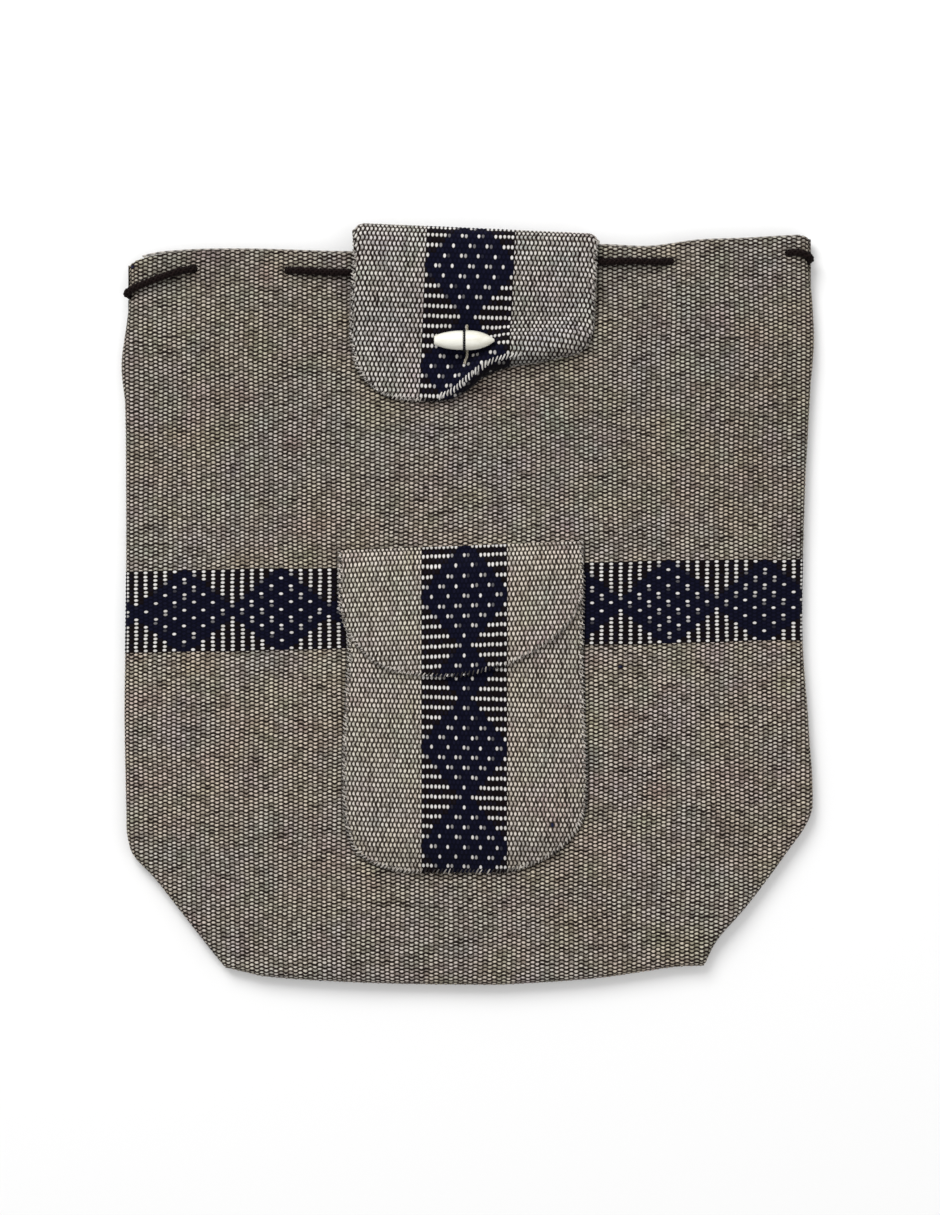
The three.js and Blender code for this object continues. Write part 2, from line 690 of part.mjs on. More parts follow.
// The loop yarn lies on the flap under the toggle, along Y
function loopYarn() {
  const x = grooveX + LOOP_YARN;
  const spot = (y) => new THREE.Vector3(x, y, overFlap(x, y, LAY_GAP + LOOP_YARN / 2));
  const stops = shares(toggleY + LOOP_ABOVE, toggleY - LOOP_BELOW, LOOP_STEPS);
  return yarnAlong(stops.map(spot), LOOP_YARN, 2 * LOOP_STEPS);
}

// The dark thread goes over the toggle's groove, from the flap on one side to the flap on the other
function toggleThread() {
  const bow = TOGGLE_RADIUS - GROOVE_DEPTH + SEAT_GAP + THREAD / 2;
  const points = shares(-THREAD_DIP, 180 + THREAD_DIP, THREAD_STEPS).map((angle) => {
    const turn = degToRad(angle);
    return new THREE.Vector3(grooveX, toggleY + bow * Math.cos(turn), toggleZ + bow * Math.sin(turn));
  });
  const foot = (side) => {
    const y = toggleY + side * bow;
    return new THREE.Vector3(grooveX, y, overFlap(grooveX, y, SEAT_GAP));
  };
  return yarnAlong([foot(1), ...points.slice(1, -1), foot(-1)], THREAD, 2 * THREAD_STEPS);
}

// Finishes: wool cloth, dyed cord, bone-white toggle, threads
const wool = { color: 0x80786e, roughness: 0.95, metalness: 0 };
const paleWool = { color: 0x958c83, roughness: 0.95, metalness: 0 };
const darkCord = { color: 0x1e0f0f, roughness: 0.75, metalness: 0 };
const bone = { color: 0xf0f0e4, roughness: 0.35, metalness: 0 };
const darkThread = { color: 0x15131a, roughness: 0.85, metalness: 0 };
const rawYarn = { color: 0xc9bfa8, roughness: 0.9, metalness: 0 };

const group = new THREE.Group();

function addPiece(name, geometry, finish) {
  const mesh = new THREE.Mesh(geometry, new THREE.MeshStandardMaterial(finish));
  mesh.name = name;
  group.add(mesh);
  return mesh;
}

const route = cordRoute();
const slitTube = toManifold(cordTube(route, CORD / 2 + SLIT_GAP));
const slitBody = toManifold(bagShell()).subtract(slitTube);
addPiece("bag_body", fromManifold(slitBody), wool);
addPiece("drawstring", cordTube(route, CORD / 2), darkCord);
addPiece("main_flap", clothSheet(flapPlace, shares(-1, 1, FLAP_COLUMNS), FLAP_ROWS, CLOTH), paleWool);
const pocketColumns = shares(-1, 1, POCKET_COLUMNS);
addPiece("pocket", clothSheet(pocketPlace, pocketColumns, shares(0, 1, POCKET_ROWS), CLOTH), paleWool);
const pocketFlapRows = shares(0, 1, POCKET_FLAP_ROWS);
addPiece("pocket_flap", clothSheet(pocketFlapPlace, pocketColumns, pocketFlapRows, CLOTH), paleWool);

const toggle = addPiece("toggle", new THREE.LatheGeometry(toggleProfile(), TOGGLE_SIDES), bone);
toggle.rotation.z = -Math.PI / 2;
toggle.position.set(TOGGLE_OFFSET - TOGGLE_LENGTH / 2, toggleY, toggleZ);
addPiece("toggle_thread", toggleThread(), darkThread);
addPiece("toggle_loop", loopYarn(), rawYarn);

// The origin is the middle of the whole bag's underside
const whole = new THREE.Box3().setFromObject(group);
const middle = whole.getCenter(new THREE.Vector3());
group.position.set(-middle.x, -middle.y, 0);

export default group;
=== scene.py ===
# %% [markdown]
# # A hand-woven morral bag, yarn by yarn
# The bag is a tube of thick wool cloth. It lies empty on its back. Its looks come from its weave: rows of
# pale yarn dots over a dark ground, and a navy band of diamonds. Here each dot of the front is a real bump
# in the mesh, and the colour of each dot is worked out by shader nodes from the same yarn count.

# %% The fixed frame
import math
from types import SimpleNamespace

import bpy
import numpy as np
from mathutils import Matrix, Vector


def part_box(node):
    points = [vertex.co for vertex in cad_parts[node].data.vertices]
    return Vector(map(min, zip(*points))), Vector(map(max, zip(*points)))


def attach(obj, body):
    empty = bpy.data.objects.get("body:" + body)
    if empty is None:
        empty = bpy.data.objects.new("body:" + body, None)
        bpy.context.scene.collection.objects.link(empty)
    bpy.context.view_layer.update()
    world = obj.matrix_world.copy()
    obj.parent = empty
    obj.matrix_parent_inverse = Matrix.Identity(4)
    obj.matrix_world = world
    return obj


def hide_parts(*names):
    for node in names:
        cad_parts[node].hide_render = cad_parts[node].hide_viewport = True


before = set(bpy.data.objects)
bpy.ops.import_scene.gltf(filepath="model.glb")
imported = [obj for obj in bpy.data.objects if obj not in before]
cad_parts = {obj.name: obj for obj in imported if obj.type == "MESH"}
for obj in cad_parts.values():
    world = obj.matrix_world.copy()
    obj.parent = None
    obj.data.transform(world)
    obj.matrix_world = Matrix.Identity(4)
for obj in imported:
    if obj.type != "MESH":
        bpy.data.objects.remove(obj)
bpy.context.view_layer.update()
MM = 0.001

# %% [markdown]
# ## The sizes that the looks share with the construction
# The cloth pieces are drawn again here, so the same driving sizes are needed. Lengths are in millimetres,
# measured from the bottom of the bag's middle, and become metres of the frame at the very end.

# %% Driving sizes
CLOTH = 2.2
LAY_GAP = 0.5
COVER_GAP = 0.8
SEAT_GAP = 0.3
BODY_WIDTH = 404
BODY_HEIGHT = 430
BODY_THICK = 14.5
EDGE_THICK = 9.8
EDGE_RUN = 35
BOTTOM_BOW = 11
MOUTH_WAVE = 11
CORD = 4.5
CORD_GAP = 0.6
CORD_LINE = 30
FLAP_WIDTH = 140.4
FLAP_DROP = 101.5
FLAP_OFFSET = 4.8
FLAP_RISE = 10
FLAP_TILT = 2.6
FLAP_ROOT = 20
FOLD_LIFT = 5.8
FOLD_FLAT = 19
FOLD_RUN = 30
LIP_LIFT = 9
LIP_RUN = 16
POCKET_WIDTH = 140.4
POCKET_HEIGHT = 172
POCKET_UP = 66.4
POCKET_OFFSET = -2.2
POCKET_DEPTH = 5.6
POCKET_RUN = 11
POCKET_FLAP_WIDTH = 141
POCKET_FLAP_DROP = 75
POCKET_FLAP_ABOVE = 17
POCKET_FLAP_OFFSET = -4.2
POCKET_FLAP_TILT = 2.2
TOGGLE_LENGTH = 34.8
TOGGLE_RADIUS = 5.6
TOGGLE_BELOW_MOUTH = 56.2
TOGGLE_OFFSET = -2.2
GROOVE_AT = 17.4
GROOVE_DEPTH = 0.9
GROOVE_WIDTH = 1.8
THREAD = 1.2
THREAD_DIP = 35
LOOP_YARN = 1.6
LOOP_ABOVE = 9.5
LOOP_BELOW = 7.2
LOOP_END = 5.8
print(f"the bag is {BODY_WIDTH} mm wide and {BODY_HEIGHT} mm high, of cloth {CLOTH} mm thick")

# %% [markdown]
# ### Tables of shares
# Each outline is a short table of shares, read along a smooth curve. A share keeps its meaning when the bag
# is made wider or longer.

# %% A curve through a short table
def curve(*rows):
    """A smooth function through rows of (place, value)."""
    at, value = np.array(rows, float).T
    slope = np.empty(len(at))
    slope[1:-1] = (value[2:] - value[:-2]) / (at[2:] - at[:-2])
    slope[0] = (value[1] - value[0]) / (at[1] - at[0])
    slope[-1] = (value[-1] - value[-2]) / (at[-1] - at[-2])

    def read(place):
        t = np.clip(place, at[0], at[-1])
        i = np.clip(np.searchsorted(at, t, side="right") - 1, 0, len(at) - 2)
        span = at[i + 1] - at[i]
        s = (t - at[i]) / span
        rise = s * s * (3 - 2 * s)
        bend = s * (1 - s) ** 2 * span * slope[i] + s * s * (s - 1) * span * slope[i + 1]
        return value[i] + (value[i + 1] - value[i]) * rise + bend

    return read


def columns(table, place, value):
    """One column of a table against another, as a curve."""
    return curve(*[(row[place], row[value]) for row in table])


def smooth(value, low, high):
    share = np.clip((value - low) / (high - low), 0, 1)
    return share * share * (3 - 2 * share)


# %% [markdown]
# ### The outline of the bag
# A cloth bag that lies flat is nearly a rectangle, but its sides bend in and out by a few millimetres and
# its bottom corners are cut. The outline could be a curve drawn by hand in the viewport. Shares read from a
# square-on view are easier to correct one by one.

# %% The body's outline, as shares
# up: share of a side's length; left, right: shares of half the width; full: share of the thickness
OUTLINE = [dict(zip(("up", "left", "right", "full"), row)) for row in (
    (0.0, 0.7, 0.681, 0.72),
    (0.035, 0.757, 0.718, 0.76),
    (0.08, 0.828, 0.8, 0.82),
    (0.13, 0.908, 0.88, 0.88),
    (0.16, 0.965, 0.925, 0.91),
    (0.19, 0.984, 0.97, 0.94),
    (0.22, 0.986, 0.994, 0.96),
    (0.35, 0.992, 0.98, 1.0),
    (0.45, 0.99, 0.965, 1.0),
    (0.57, 0.987, 0.967, 1.0),
    (0.69, 0.987, 0.976, 0.98),
    (0.8, 0.99, 0.989, 0.95),
    (0.86, 1.0, 0.998, 0.93),
    (0.92, 0.984, 0.992, 0.9),
    (0.965, 0.974, 0.983, 0.88),
    (1.0, 0.976, 0.985, 0.87),
)]
left_side = columns(OUTLINE, "up", "left")
right_side = columns(OUTLINE, "up", "right")
fullness = columns(OUTLINE, "up", "full")
# across: share of half the width; rise: share of BOTTOM_BOW
bottom_rise = curve(
    (-1.0, 0.9), (-0.91, 0.64), (-0.85, 0.45), (-0.61, 0.21), (-0.31, 0.05), (0.0, 0.0),
    (0.15, 0.0), (0.53, 0.32), (0.74, 0.68), (0.87, 0.93), (1.0, 1.0),
)
# across: share of half the width; rise: share of MOUTH_WAVE
mouth_rise = curve(
    (-1.0, -1.0), (-0.97, -0.7), (-0.87, -0.3), (-0.65, -0.17), (-0.34, -0.32), (0.0, -0.15),
    (0.38, 0.05), (0.52, -0.03), (0.66, 0.29), (0.79, 0.39), (0.98, 0.58), (1.0, 0.4),
)
print("sides at mid height, as shares:", round(float(left_side(0.5)), 3), round(float(right_side(0.5)), 3))

# %% [markdown]
# ### Named folds
# The cloth has a few dents and swells that a viewer would notice, beside the drawstring's ends and at the
# cut corners. Sculpting them would tie them to one mesh. Here each is a soft bump with a place, a size and a
# turn, so it can be moved later.

# %% The body's dents and swells
# across, up: shares; long, wide: shares of the width; turn: degrees; rise: share of CLOTH
FOLDS = [dict(zip(("across", "up", "long", "wide", "turn", "rise"), row)) for row in (
    (-0.84, 0.935, 0.09, 0.028, 24, -0.8),
    (-0.86, 0.87, 0.09, 0.05, 10, 0.5),
    (0.43, 0.94, 0.05, 0.02, 16, -0.5),
    (0.25, 0.68, 0.2, 0.07, 4, -0.4),
    (0.72, 0.6, 0.12, 0.2, 0, 0.4),
    (-0.7, 0.45, 0.14, 0.2, 0, 0.35),
    (-0.8, 0.15, 0.12, 0.03, -50, -0.5),
    (0.78, 0.16, 0.12, 0.03, 48, -0.5),
)]
print(len(FOLDS), "named folds")

# %% [markdown]
# ## The front of the bag as a height over the floor
# Everything lies on the front, so its height is one function of place. A bag that lies empty is never flat:
# besides the few named folds it has faint waves, made here of a few sines.

# %% Where the bag's front lies
def half_width(across, up):
    return BODY_WIDTH / 2 * np.where(np.asarray(across) < 0, left_side(up), right_side(up))


def bottom_line(across):
    return BOTTOM_BOW * bottom_rise(across)


def mouth_line(across):
    return BODY_HEIGHT + MOUTH_WAVE * mouth_rise(across)


def bag_shares(x, y):
    """The shares across and up of a place on the bag."""
    across, up = x / (BODY_WIDTH / 2), y / BODY_HEIGHT
    for _ in range(6):
        up = np.clip((y - bottom_line(across)) / (mouth_line(across) - bottom_line(across)), 0, 1)
        across = np.clip(x / half_width(x, up), -1, 1)
    return across, up


def fold_relief(across, up):
    rise = 0
    for fold in FOLDS:
        dx = (across - fold["across"]) * BODY_WIDTH / 2
        dy = (up - fold["up"]) * BODY_HEIGHT
        turn = math.radians(fold["turn"])
        along = (dx * math.cos(turn) + dy * math.sin(turn)) / (fold["long"] * BODY_WIDTH)
        beside = (dy * math.cos(turn) - dx * math.sin(turn)) / (fold["wide"] * BODY_WIDTH)
        rise = rise + fold["rise"] * CLOTH * np.exp(-along**2 - beside**2)
    return rise


# %% [markdown]
# ### Faint waves
# Between its folds the cloth still isn't level, which shows only as soft light and dark. Noise would do it
# too, but a sum of five long waves is smooth everywhere and the same in every run.

# %% Faint waves of the resting cloth
WAVE_HEIGHT = 0.3
# long: wavelength in mm; turn: degrees; start: degrees
WAVES = [dict(zip(("long", "turn", "start"), row)) for row in (
    (118, 14, 20), (83, 71, 140), (61, 118, 250), (47, 38, 80), (36, 97, 310),
)]


def soft_waves(x, y):
    rise = 0
    for wave in WAVES:
        turn = math.radians(wave["turn"])
        way = (x * math.cos(turn) + y * math.sin(turn)) / wave["long"]
        size = wave["long"] / WAVES[0]["long"]
        rise = rise + np.sin(2 * math.pi * way + math.radians(wave["start"])) * size
    return WAVE_HEIGHT * rise


def front_height(across, up):
    inward = (1 - np.abs(across)) * half_width(across, up)
    swell = 1 - np.exp(-((inward / EDGE_RUN) ** 2))
    full = BODY_THICK * fullness(up)
    return EDGE_THICK + (full - EDGE_THICK + fold_relief(across, up)) * swell


def front_top(x, y):
    across, up = bag_shares(x, y)
    return front_height(across, up)


def rest_on(surface, distance):
    """A surface that lies a true distance above another, also on its slopes."""
    step = 0.5

    def height(x, y):
        slope_x = (surface(x + step, y) - surface(x - step, y)) / (2 * step)
        slope_y = (surface(x, y + step) - surface(x, y - step)) / (2 * step)
        return surface(x, y) + distance * np.sqrt(1 + slope_x**2 + slope_y**2)

    return height


print("the front's middle is", round(float(front_top(0.0, BODY_HEIGHT / 2)), 1), "mm above the floor")

# %% [markdown]
# ## Counting yarns
# A weave is a grid, so a place on the cloth is best named by its yarn count: `column` counts the thick yarn
# columns, and `dot` counts the dots along a column. Every second column is shifted by half a dot, as bricks
# are. The same count drives the bumps in the mesh and, as an attribute, the colours in the shader.

# %% Yarn sizes and the band's place in the count
COLUMN = 2.811
DOT = 2.27
BAND_DOTS = 21
DIAMOND_COLUMNS = 20
BAND_UP = 220.7
BAND_LEAN = 0.0191
DIAMOND_AT = 3.9
RELIEF = 0.62
SINK_SHARE = 0.7
DOT_PART = 0.38


def dot_bulge(column, dot):
    """How far the yarn stands up at a yarn count: 0 in the gaps, 1 at the middle of a dot."""
    number = np.floor(column)
    odd = np.mod(number, 2)
    from_middle = column - number - 0.5
    shifted = dot + odd / 2
    along = shifted - np.floor(shifted) - 0.5
    return np.cos(math.pi * from_middle) * (1 - DOT_PART + DOT_PART * np.cos(2 * math.pi * along))


print("yarn dots on the front, about:", round(BODY_WIDTH * BODY_HEIGHT / COLUMN / DOT))

# %% [markdown]
# ## From a grid of yarn counts to a mesh
# A subdivided plane with a displacement texture would blur yarns that are only four samples wide. So the
# mesh is built with its vertices exactly on the crests and gaps. Grid points that fall outside the cut edge
# are moved onto it, points that then coincide are merged, and triangles without area are dropped.

# %% The mesh builder
toggle_low, toggle_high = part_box("toggle")
toggle_y = BODY_HEIGHT - TOGGLE_BELOW_MOUTH
SHIFT = np.array([
    (toggle_low.x + toggle_high.x) / 2 / MM - TOGGLE_OFFSET,
    (toggle_low.y + toggle_high.y) / 2 / MM - toggle_y,
    0.0,
])
MERGE = 1e-3
LEAST_AREA = 1e-5
pieces = {}
print("shift onto the frame in mm:", SHIFT.round(3))


def add_piece(name, points, triangles, material, yarn=None, bake=None, replaces=()):
    """Makes a mesh of points in millimetres, and hangs it on the frame."""
    points = (np.asarray(points, float) + SHIFT) * MM
    triangles = np.asarray(triangles, np.int32)
    mesh = bpy.data.meshes.new(name)
    mesh.vertices.add(len(points))
    mesh.vertices.foreach_set("co", points.astype(np.float32).ravel())
    mesh.loops.add(triangles.size)
    mesh.loops.foreach_set("vertex_index", triangles.ravel())
    mesh.polygons.add(len(triangles))
    mesh.polygons.foreach_set("loop_start", np.arange(0, triangles.size, 3, dtype=np.int32))
    if yarn is not None:
        attribute = mesh.attributes.new("yarn", "FLOAT_VECTOR", "POINT")
        attribute.data.foreach_set("vector", yarn.astype(np.float32).ravel())
    if bake is not None:
        layer = mesh.uv_layers.new(name="OFBake")
        layer.uv.foreach_set("vector", bake.astype(np.float32).ravel())
    mesh.update(calc_edges=True)
    mesh.validate()
    mesh.shade_smooth()
    mesh.materials.append(material)
    piece = bpy.data.objects.new(name, mesh)
    bpy.context.scene.collection.objects.link(piece)
    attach(piece, "root")
    if replaces:
        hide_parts(*replaces)
    pieces[name] = len(triangles)
    print(f"{name}: {len(triangles)} triangles")
    return piece


# %% Triangles of a grid
def grid_triangles(high, flip=False):
    """Two triangles for each cell of a grid, with the diagonal that meets the cell's highest corner."""
    rows, wide = high.shape
    number = np.arange(rows * wide).reshape(rows, wide)
    a, b = number[:-1, :-1], number[:-1, 1:]
    d, c = number[1:, :-1], number[1:, 1:]
    corner = np.stack([high[:-1, :-1], high[:-1, 1:], high[1:, 1:], high[1:, :-1]])
    other = (corner.argmax(0) % 2 == 1)[..., None]
    first = np.where(other, np.stack([a, b, d], -1), np.stack([a, b, c], -1))
    second = np.where(other, np.stack([b, c, d], -1), np.stack([a, c, d], -1))
    triangles = np.concatenate([first.reshape(-1, 3), second.reshape(-1, 3)])
    return triangles[:, ::-1] if flip else triangles


# %% Merging points
def tidy(points, triangles):
    """Merges points that coincide and drops triangles without area."""
    key = np.round(points / MERGE).astype(np.int64)
    _, first, same = np.unique(key, axis=0, return_index=True, return_inverse=True)
    merged = same.ravel()[triangles]
    whole = (
        (merged[:, 0] != merged[:, 1]) & (merged[:, 1] != merged[:, 2]) & (merged[:, 2] != merged[:, 0])
    )
    corners = points[first][merged]
    area = np.linalg.norm(np.cross(corners[:, 1] - corners[:, 0], corners[:, 2] - corners[:, 0]), axis=1)
    keep = whole & (area > LEAST_AREA)
    return first, merged[keep], keep


# %% [markdown]
# ## A woven face
# Each face of cloth is a surface, given as a function of lengths along the cloth. Its grid points are pushed
# out along the normal by the yarns' bulge. The yarn count goes along as an attribute for the shader. The
# flat lengths become the map that a texture bake needs, where no two places overlap.

# %% Cloth of a surface
def normals_of(place, s, t):
    step = 0.05
    across = place(s + step, t) - place(s - step, t)
    along = place(s, t + step) - place(s, t - step)
    normal = np.cross(across, along)
    return normal / np.maximum(np.linalg.norm(normal, axis=-1, keepdims=True), 1e-9)


def cloth_skin(name, place, s, t, count, material, replaces=(), sink=SINK_SHARE * RELIEF,
               flip=False, keep=None, shade=None):
    """One woven face. s and t are places on the surface, count gives the yarn count of a place."""
    column, dot = count(s, t)
    bulge = dot_bulge(column, dot)
    outward = -1 if flip else 1
    points = place(s, t) + outward * normals_of(place, s, t) * (RELIEF * bulge - sink)[..., None]
    triangles = grid_triangles(bulge, flip)
    bake = np.stack([(s - s.min()) / np.ptp(s), (t - t.min()) / np.ptp(t)], -1).reshape(-1, 2)
    flat = points.reshape(-1, 3)
    if keep is not None:
        flat, inside = keep(flat)
        triangles = triangles[inside[triangles].all(1)]
    first, merged, kept = tidy(flat, triangles)
    # dark: the painted shade of each point, carried to the shader as the yarn attribute's third number
    dark = 0 * dot.ravel() if shade is None else shade(flat)
    yarn = np.stack([column.ravel(), dot.ravel(), dark], -1)
    return add_piece(
        name, flat[first], merged, material, yarn[first], bake[triangles[kept]], replaces,
    )


# %% [markdown]
# ### A piece with two faces
# The flaps and the pocket are single layers of cloth whose edges show, so each is a closed piece: two woven
# faces, one thickness apart, joined by a rim. A Solidify modifier could do it, but its back face would have
# no relief of its own, and the map for baking would overlap.

# %% A flap or pocket has two faces and a rim
FACE_TALL = 0.47
RIM_LOW = 0.48
RIM_HIGH = 0.52


def cloth_sheet(name, place, s, t, count, material, replaces, shade=None):
    """A closed piece of woven cloth about the surface place(s, t). shade: painted shade, 1 where no light
    gets in.
    """
    column, dot = count(s, t)
    bulge = dot_bulge(column, dot)
    normal = normals_of(place, s, t)
    stand = (CLOTH / 2 - SINK_SHARE * RELIEF + RELIEF * bulge)[..., None]
    middle = place(s, t)
    points = np.stack([middle + normal * stand, middle - normal * stand]).reshape(-1, 3)
    size = bulge.size
    number = np.arange(size).reshape(bulge.shape)
    ring = np.concatenate([number[0, :-1], number[:-1, -1], number[-1, :0:-1], number[:0:-1, 0]])
    after = np.roll(ring, -1)
    rim = np.concatenate([
        np.stack([after, ring, ring + size], -1), np.stack([after, ring + size, after + size], -1),
    ])
    face = grid_triangles(bulge)
    triangles = np.concatenate([face, face[:, ::-1] + size, rim])
    u = ((s - s.min()) / np.ptp(s)).ravel()
    v = ((t - t.min()) / np.ptp(t)).ravel()
    step = np.arange(len(ring)) / len(ring)
    on = step + 1 / len(ring)
    low, high = np.full(len(ring), RIM_LOW), np.full(len(ring), RIM_HIGH)
    bake = np.concatenate([
        np.stack([u, FACE_TALL * v], -1)[face],
        np.stack([u, 1 - FACE_TALL + FACE_TALL * v], -1)[face[:, ::-1]],
        np.stack([np.stack([on, step, step], -1), np.stack([low, low, high], -1)], -1),
        np.stack([np.stack([on, step, on], -1), np.stack([low, high, high], -1)], -1),
    ])
    first, merged, kept = tidy(points, triangles)
    yarn = np.stack([column, dot, 0 * dot if shade is None else shade], -1).reshape(-1, 3)
    yarn = np.concatenate([yarn, yarn])
    return add_piece(name, points[first], merged, material, yarn[first], bake[kept], replaces)


# %% [markdown]
# ## Woven wool as a shader
# The colour of a yarn dot depends only on its whole-number count, so the shader takes the count apart:
# whole part for which dot it is, rest for where in the dot. An image texture could show the same, but only
# at one size, and it would repeat. Numbers on shader wires get short helpers, so a formula stays legible.

# %% Numbers on shader wires
def calc(tree, operation, *values, clamp=False):
    """A Math node over numbers and wires, as a wire."""
    node = tree.nodes.new("ShaderNodeMath")
    node.operation = operation
    node.use_clamp = clamp
    for entry, value in zip(node.inputs, values):
        if isinstance(value, (int, float)):
            entry.default_value = value
        else:
            tree.links.new(value, entry)
    return node.outputs[0]


def fade(tree, value, low, high, start=0.0, end=1.0):
    """A smooth step of a wire, from start at low to end at high."""
    node = tree.nodes.new("ShaderNodeMapRange")
    node.interpolation_type = "SMOOTHSTEP"
    tree.links.new(value, node.inputs["Value"])
    for entry, number in zip(node.inputs[1:5], (low, high, start, end)):
        entry.default_value = number
    return node.outputs["Result"]


def point(tree, x, y, z=0.0):
    node = tree.nodes.new("ShaderNodeCombineXYZ")
    for entry, value in zip(node.inputs, (x, y, z)):
        if isinstance(value, (int, float)):
            entry.default_value = value
        else:
            tree.links.new(value, entry)
    return node.outputs[0]


# %% Noise and colours on shader wires
def chance(tree, where):
    """A random number and colour for each whole-number place."""
    node = tree.nodes.new("ShaderNodeTexWhiteNoise")
    node.noise_dimensions = "3D"
    tree.links.new(where, node.inputs["Vector"])
    return node.outputs["Value"], node.outputs["Color"]


def cloud(tree, where, scale, detail=2.0, rough=0.5, part="Fac"):
    node = tree.nodes.new("ShaderNodeTexNoise")
    tree.links.new(where, node.inputs["Vector"])
    node.inputs["Scale"].default_value = scale
    node.inputs["Detail"].default_value = detail
    node.inputs["Roughness"].default_value = rough
    return node.outputs[part]


def blend(tree, share, below, above, way="MIX"):
    """A colour between two, each a colour or a wire."""
    node = tree.nodes.new("ShaderNodeMix")
    node.data_type = "RGBA"
    node.blend_type = way
    for name, value in (("Factor", share), ("A", below), ("B", above)):
        entry = [i for i in node.inputs if i.name == name and i.enabled][0]
        if isinstance(value, (int, float)):
            entry.default_value = value
        elif isinstance(value, tuple):
            entry.default_value = (*value, 1.0)
        else:
            tree.links.new(value, entry)
    return [o for o in node.outputs if o.enabled][0]


# %% A new material, and its finest bumps
def new_material(name, roughness, sheen=0.0, specular=0.3):
    material = bpy.data.materials.new(name)
    material.use_nodes = True
    tree = material.node_tree
    shader = tree.nodes["Principled BSDF"]
    shader.inputs["Roughness"].default_value = roughness
    shader.inputs["Sheen Weight"].default_value = sheen
    shader.inputs["Sheen Roughness"].default_value = 0.5
    shader.inputs["Specular IOR Level"].default_value = specular
    return material, tree, shader


def add_bump(tree, shader, height, distance, strength=1.0):
    node = tree.nodes.new("ShaderNodeBump")
    node.inputs["Strength"].default_value = strength
    node.inputs["Distance"].default_value = distance
    tree.links.new(height, node.inputs["Height"])
    tree.links.new(node.outputs["Normal"], shader.inputs["Normal"])


# %% [markdown]
# ### Colours of the yarns
# The wool is undyed: pale and dull beige yarns over a nearly black ground. The band's yarns are dyed navy
# and dark brown. The colours are linear values, as Blender's sockets take them, so they look darker as
# numbers than they do in a picture.

# %% Yarn colours
PALE_YARN = (0.66, 0.60, 0.525)
DULL_YARN = (0.33, 0.295, 0.25)
GROUND_YARN = (0.014, 0.010, 0.009)
WHITE_YARN = (0.80, 0.78, 0.76)
NAVY_YARN = (0.0045, 0.0048, 0.0165)
BROWN_YARN = (0.0075, 0.0045, 0.0050)


# %% [markdown]
# ### A place in the weave
# The shader first works out where it is: which column and dot, how far from that dot's middle, and a few
# random numbers that belong to the dot. All of that comes from the yarn count, so it is the same at every
# size of picture.

# %% A place in the weave
DOT_LONG = 0.42
DOT_WIDE = 0.33
UNEVEN = 0.12


def weave_place(tree, seed):
    """Wires for the dot that a shading point belongs to, and for its place in the dot."""
    count = tree.nodes.new("ShaderNodeAttribute")
    count.attribute_name = "yarn"
    split = tree.nodes.new("ShaderNodeSeparateXYZ")
    tree.links.new(count.outputs["Vector"], split.inputs[0])
    column, dot, shade = split.outputs
    number = calc(tree, "FLOOR", column)
    odd = calc(tree, "FLOORED_MODULO", number, 2.0)
    shifted = calc(tree, "MULTIPLY_ADD", odd, 0.5, dot)
    row = calc(tree, "FLOOR", shifted)
    lucky, lucky_colour = chance(tree, point(tree, number, row, seed))
    spread = tree.nodes.new("ShaderNodeSeparateColor")
    tree.links.new(lucky_colour, spread.inputs[0])
    own = spread.outputs
    side = calc(tree, "SUBTRACT", calc(tree, "SUBTRACT", column, number), 0.5)
    along = calc(tree, "SUBTRACT", calc(tree, "SUBTRACT", shifted, row), 0.5)
    side = calc(tree, "ADD", side, calc(tree, "MULTIPLY_ADD", own[0], UNEVEN, -UNEVEN / 2))
    along = calc(tree, "ADD", along, calc(tree, "MULTIPLY_ADD", own[1], UNEVEN, -UNEVEN / 2))
    return SimpleNamespace(column=column, dot=dot, shade=shade, number=number, odd=odd, shifted=shifted,
                           row=row, lucky=lucky, own=own, side=side, along=along, seed=seed)


# %% [markdown]
# ### One formula for the diamonds
# Count `k` columns from the nearest diamond's middle and `r` dots from the band's middle. A pale dot shows
# outside the diamond, where `r + 2k` is at least 12, and inside it in every fourth place of `r + 2k`. A
# weaver counts the same way. Only every second column carries pale dots; those between are dark.

# %% The diamond band
def diamond_band(tree, at):
    """Wires that say how much a place is in the band, in a diamond, and white."""
    from_middle = calc(tree, "ABSOLUTE", calc(tree, "SUBTRACT", at.dot, 0.5))
    in_band = fade(tree, from_middle, BAND_DOTS / 2 + 0.02, BAND_DOTS / 2 - 0.02)
    half_count = calc(tree, "MULTIPLY_ADD", at.number, 0.5, DIAMOND_COLUMNS / 4)
    wrapped = calc(tree, "FLOORED_MODULO", half_count, DIAMOND_COLUMNS / 2)
    k = calc(tree, "ABSOLUTE", calc(tree, "SUBTRACT", wrapped, DIAMOND_COLUMNS / 4))
    reach = calc(tree, "MULTIPLY_ADD", k, 2.0, calc(tree, "ABSOLUTE", at.row))
    in_diamond = calc(tree, "LESS_THAN", reach, BAND_DOTS / 2 + 1.0)
    turn = calc(tree, "FLOORED_MODULO", calc(tree, "MULTIPLY_ADD", k, 2.0, at.row), 4.0)
    fourth = calc(tree, "LESS_THAN", turn, 0.5)
    twin = calc(tree, "GREATER_THAN", turn, 2.5)
    plain = calc(tree, "SUBTRACT", 1.0, in_diamond)
    even = calc(tree, "SUBTRACT", 1.0, at.odd)
    is_white = calc(tree, "MULTIPLY", even, calc(tree, "MAXIMUM", plain, fourth))
    small = calc(tree, "MULTIPLY", calc(tree, "MULTIPLY", even, in_diamond), twin)
    small = calc(tree, "MULTIPLY", small, fade(tree, at.own[2], 0.25, 0.9, 0.0, 0.55))
    return in_band, in_diamond, calc(tree, "MAXIMUM", is_white, small)


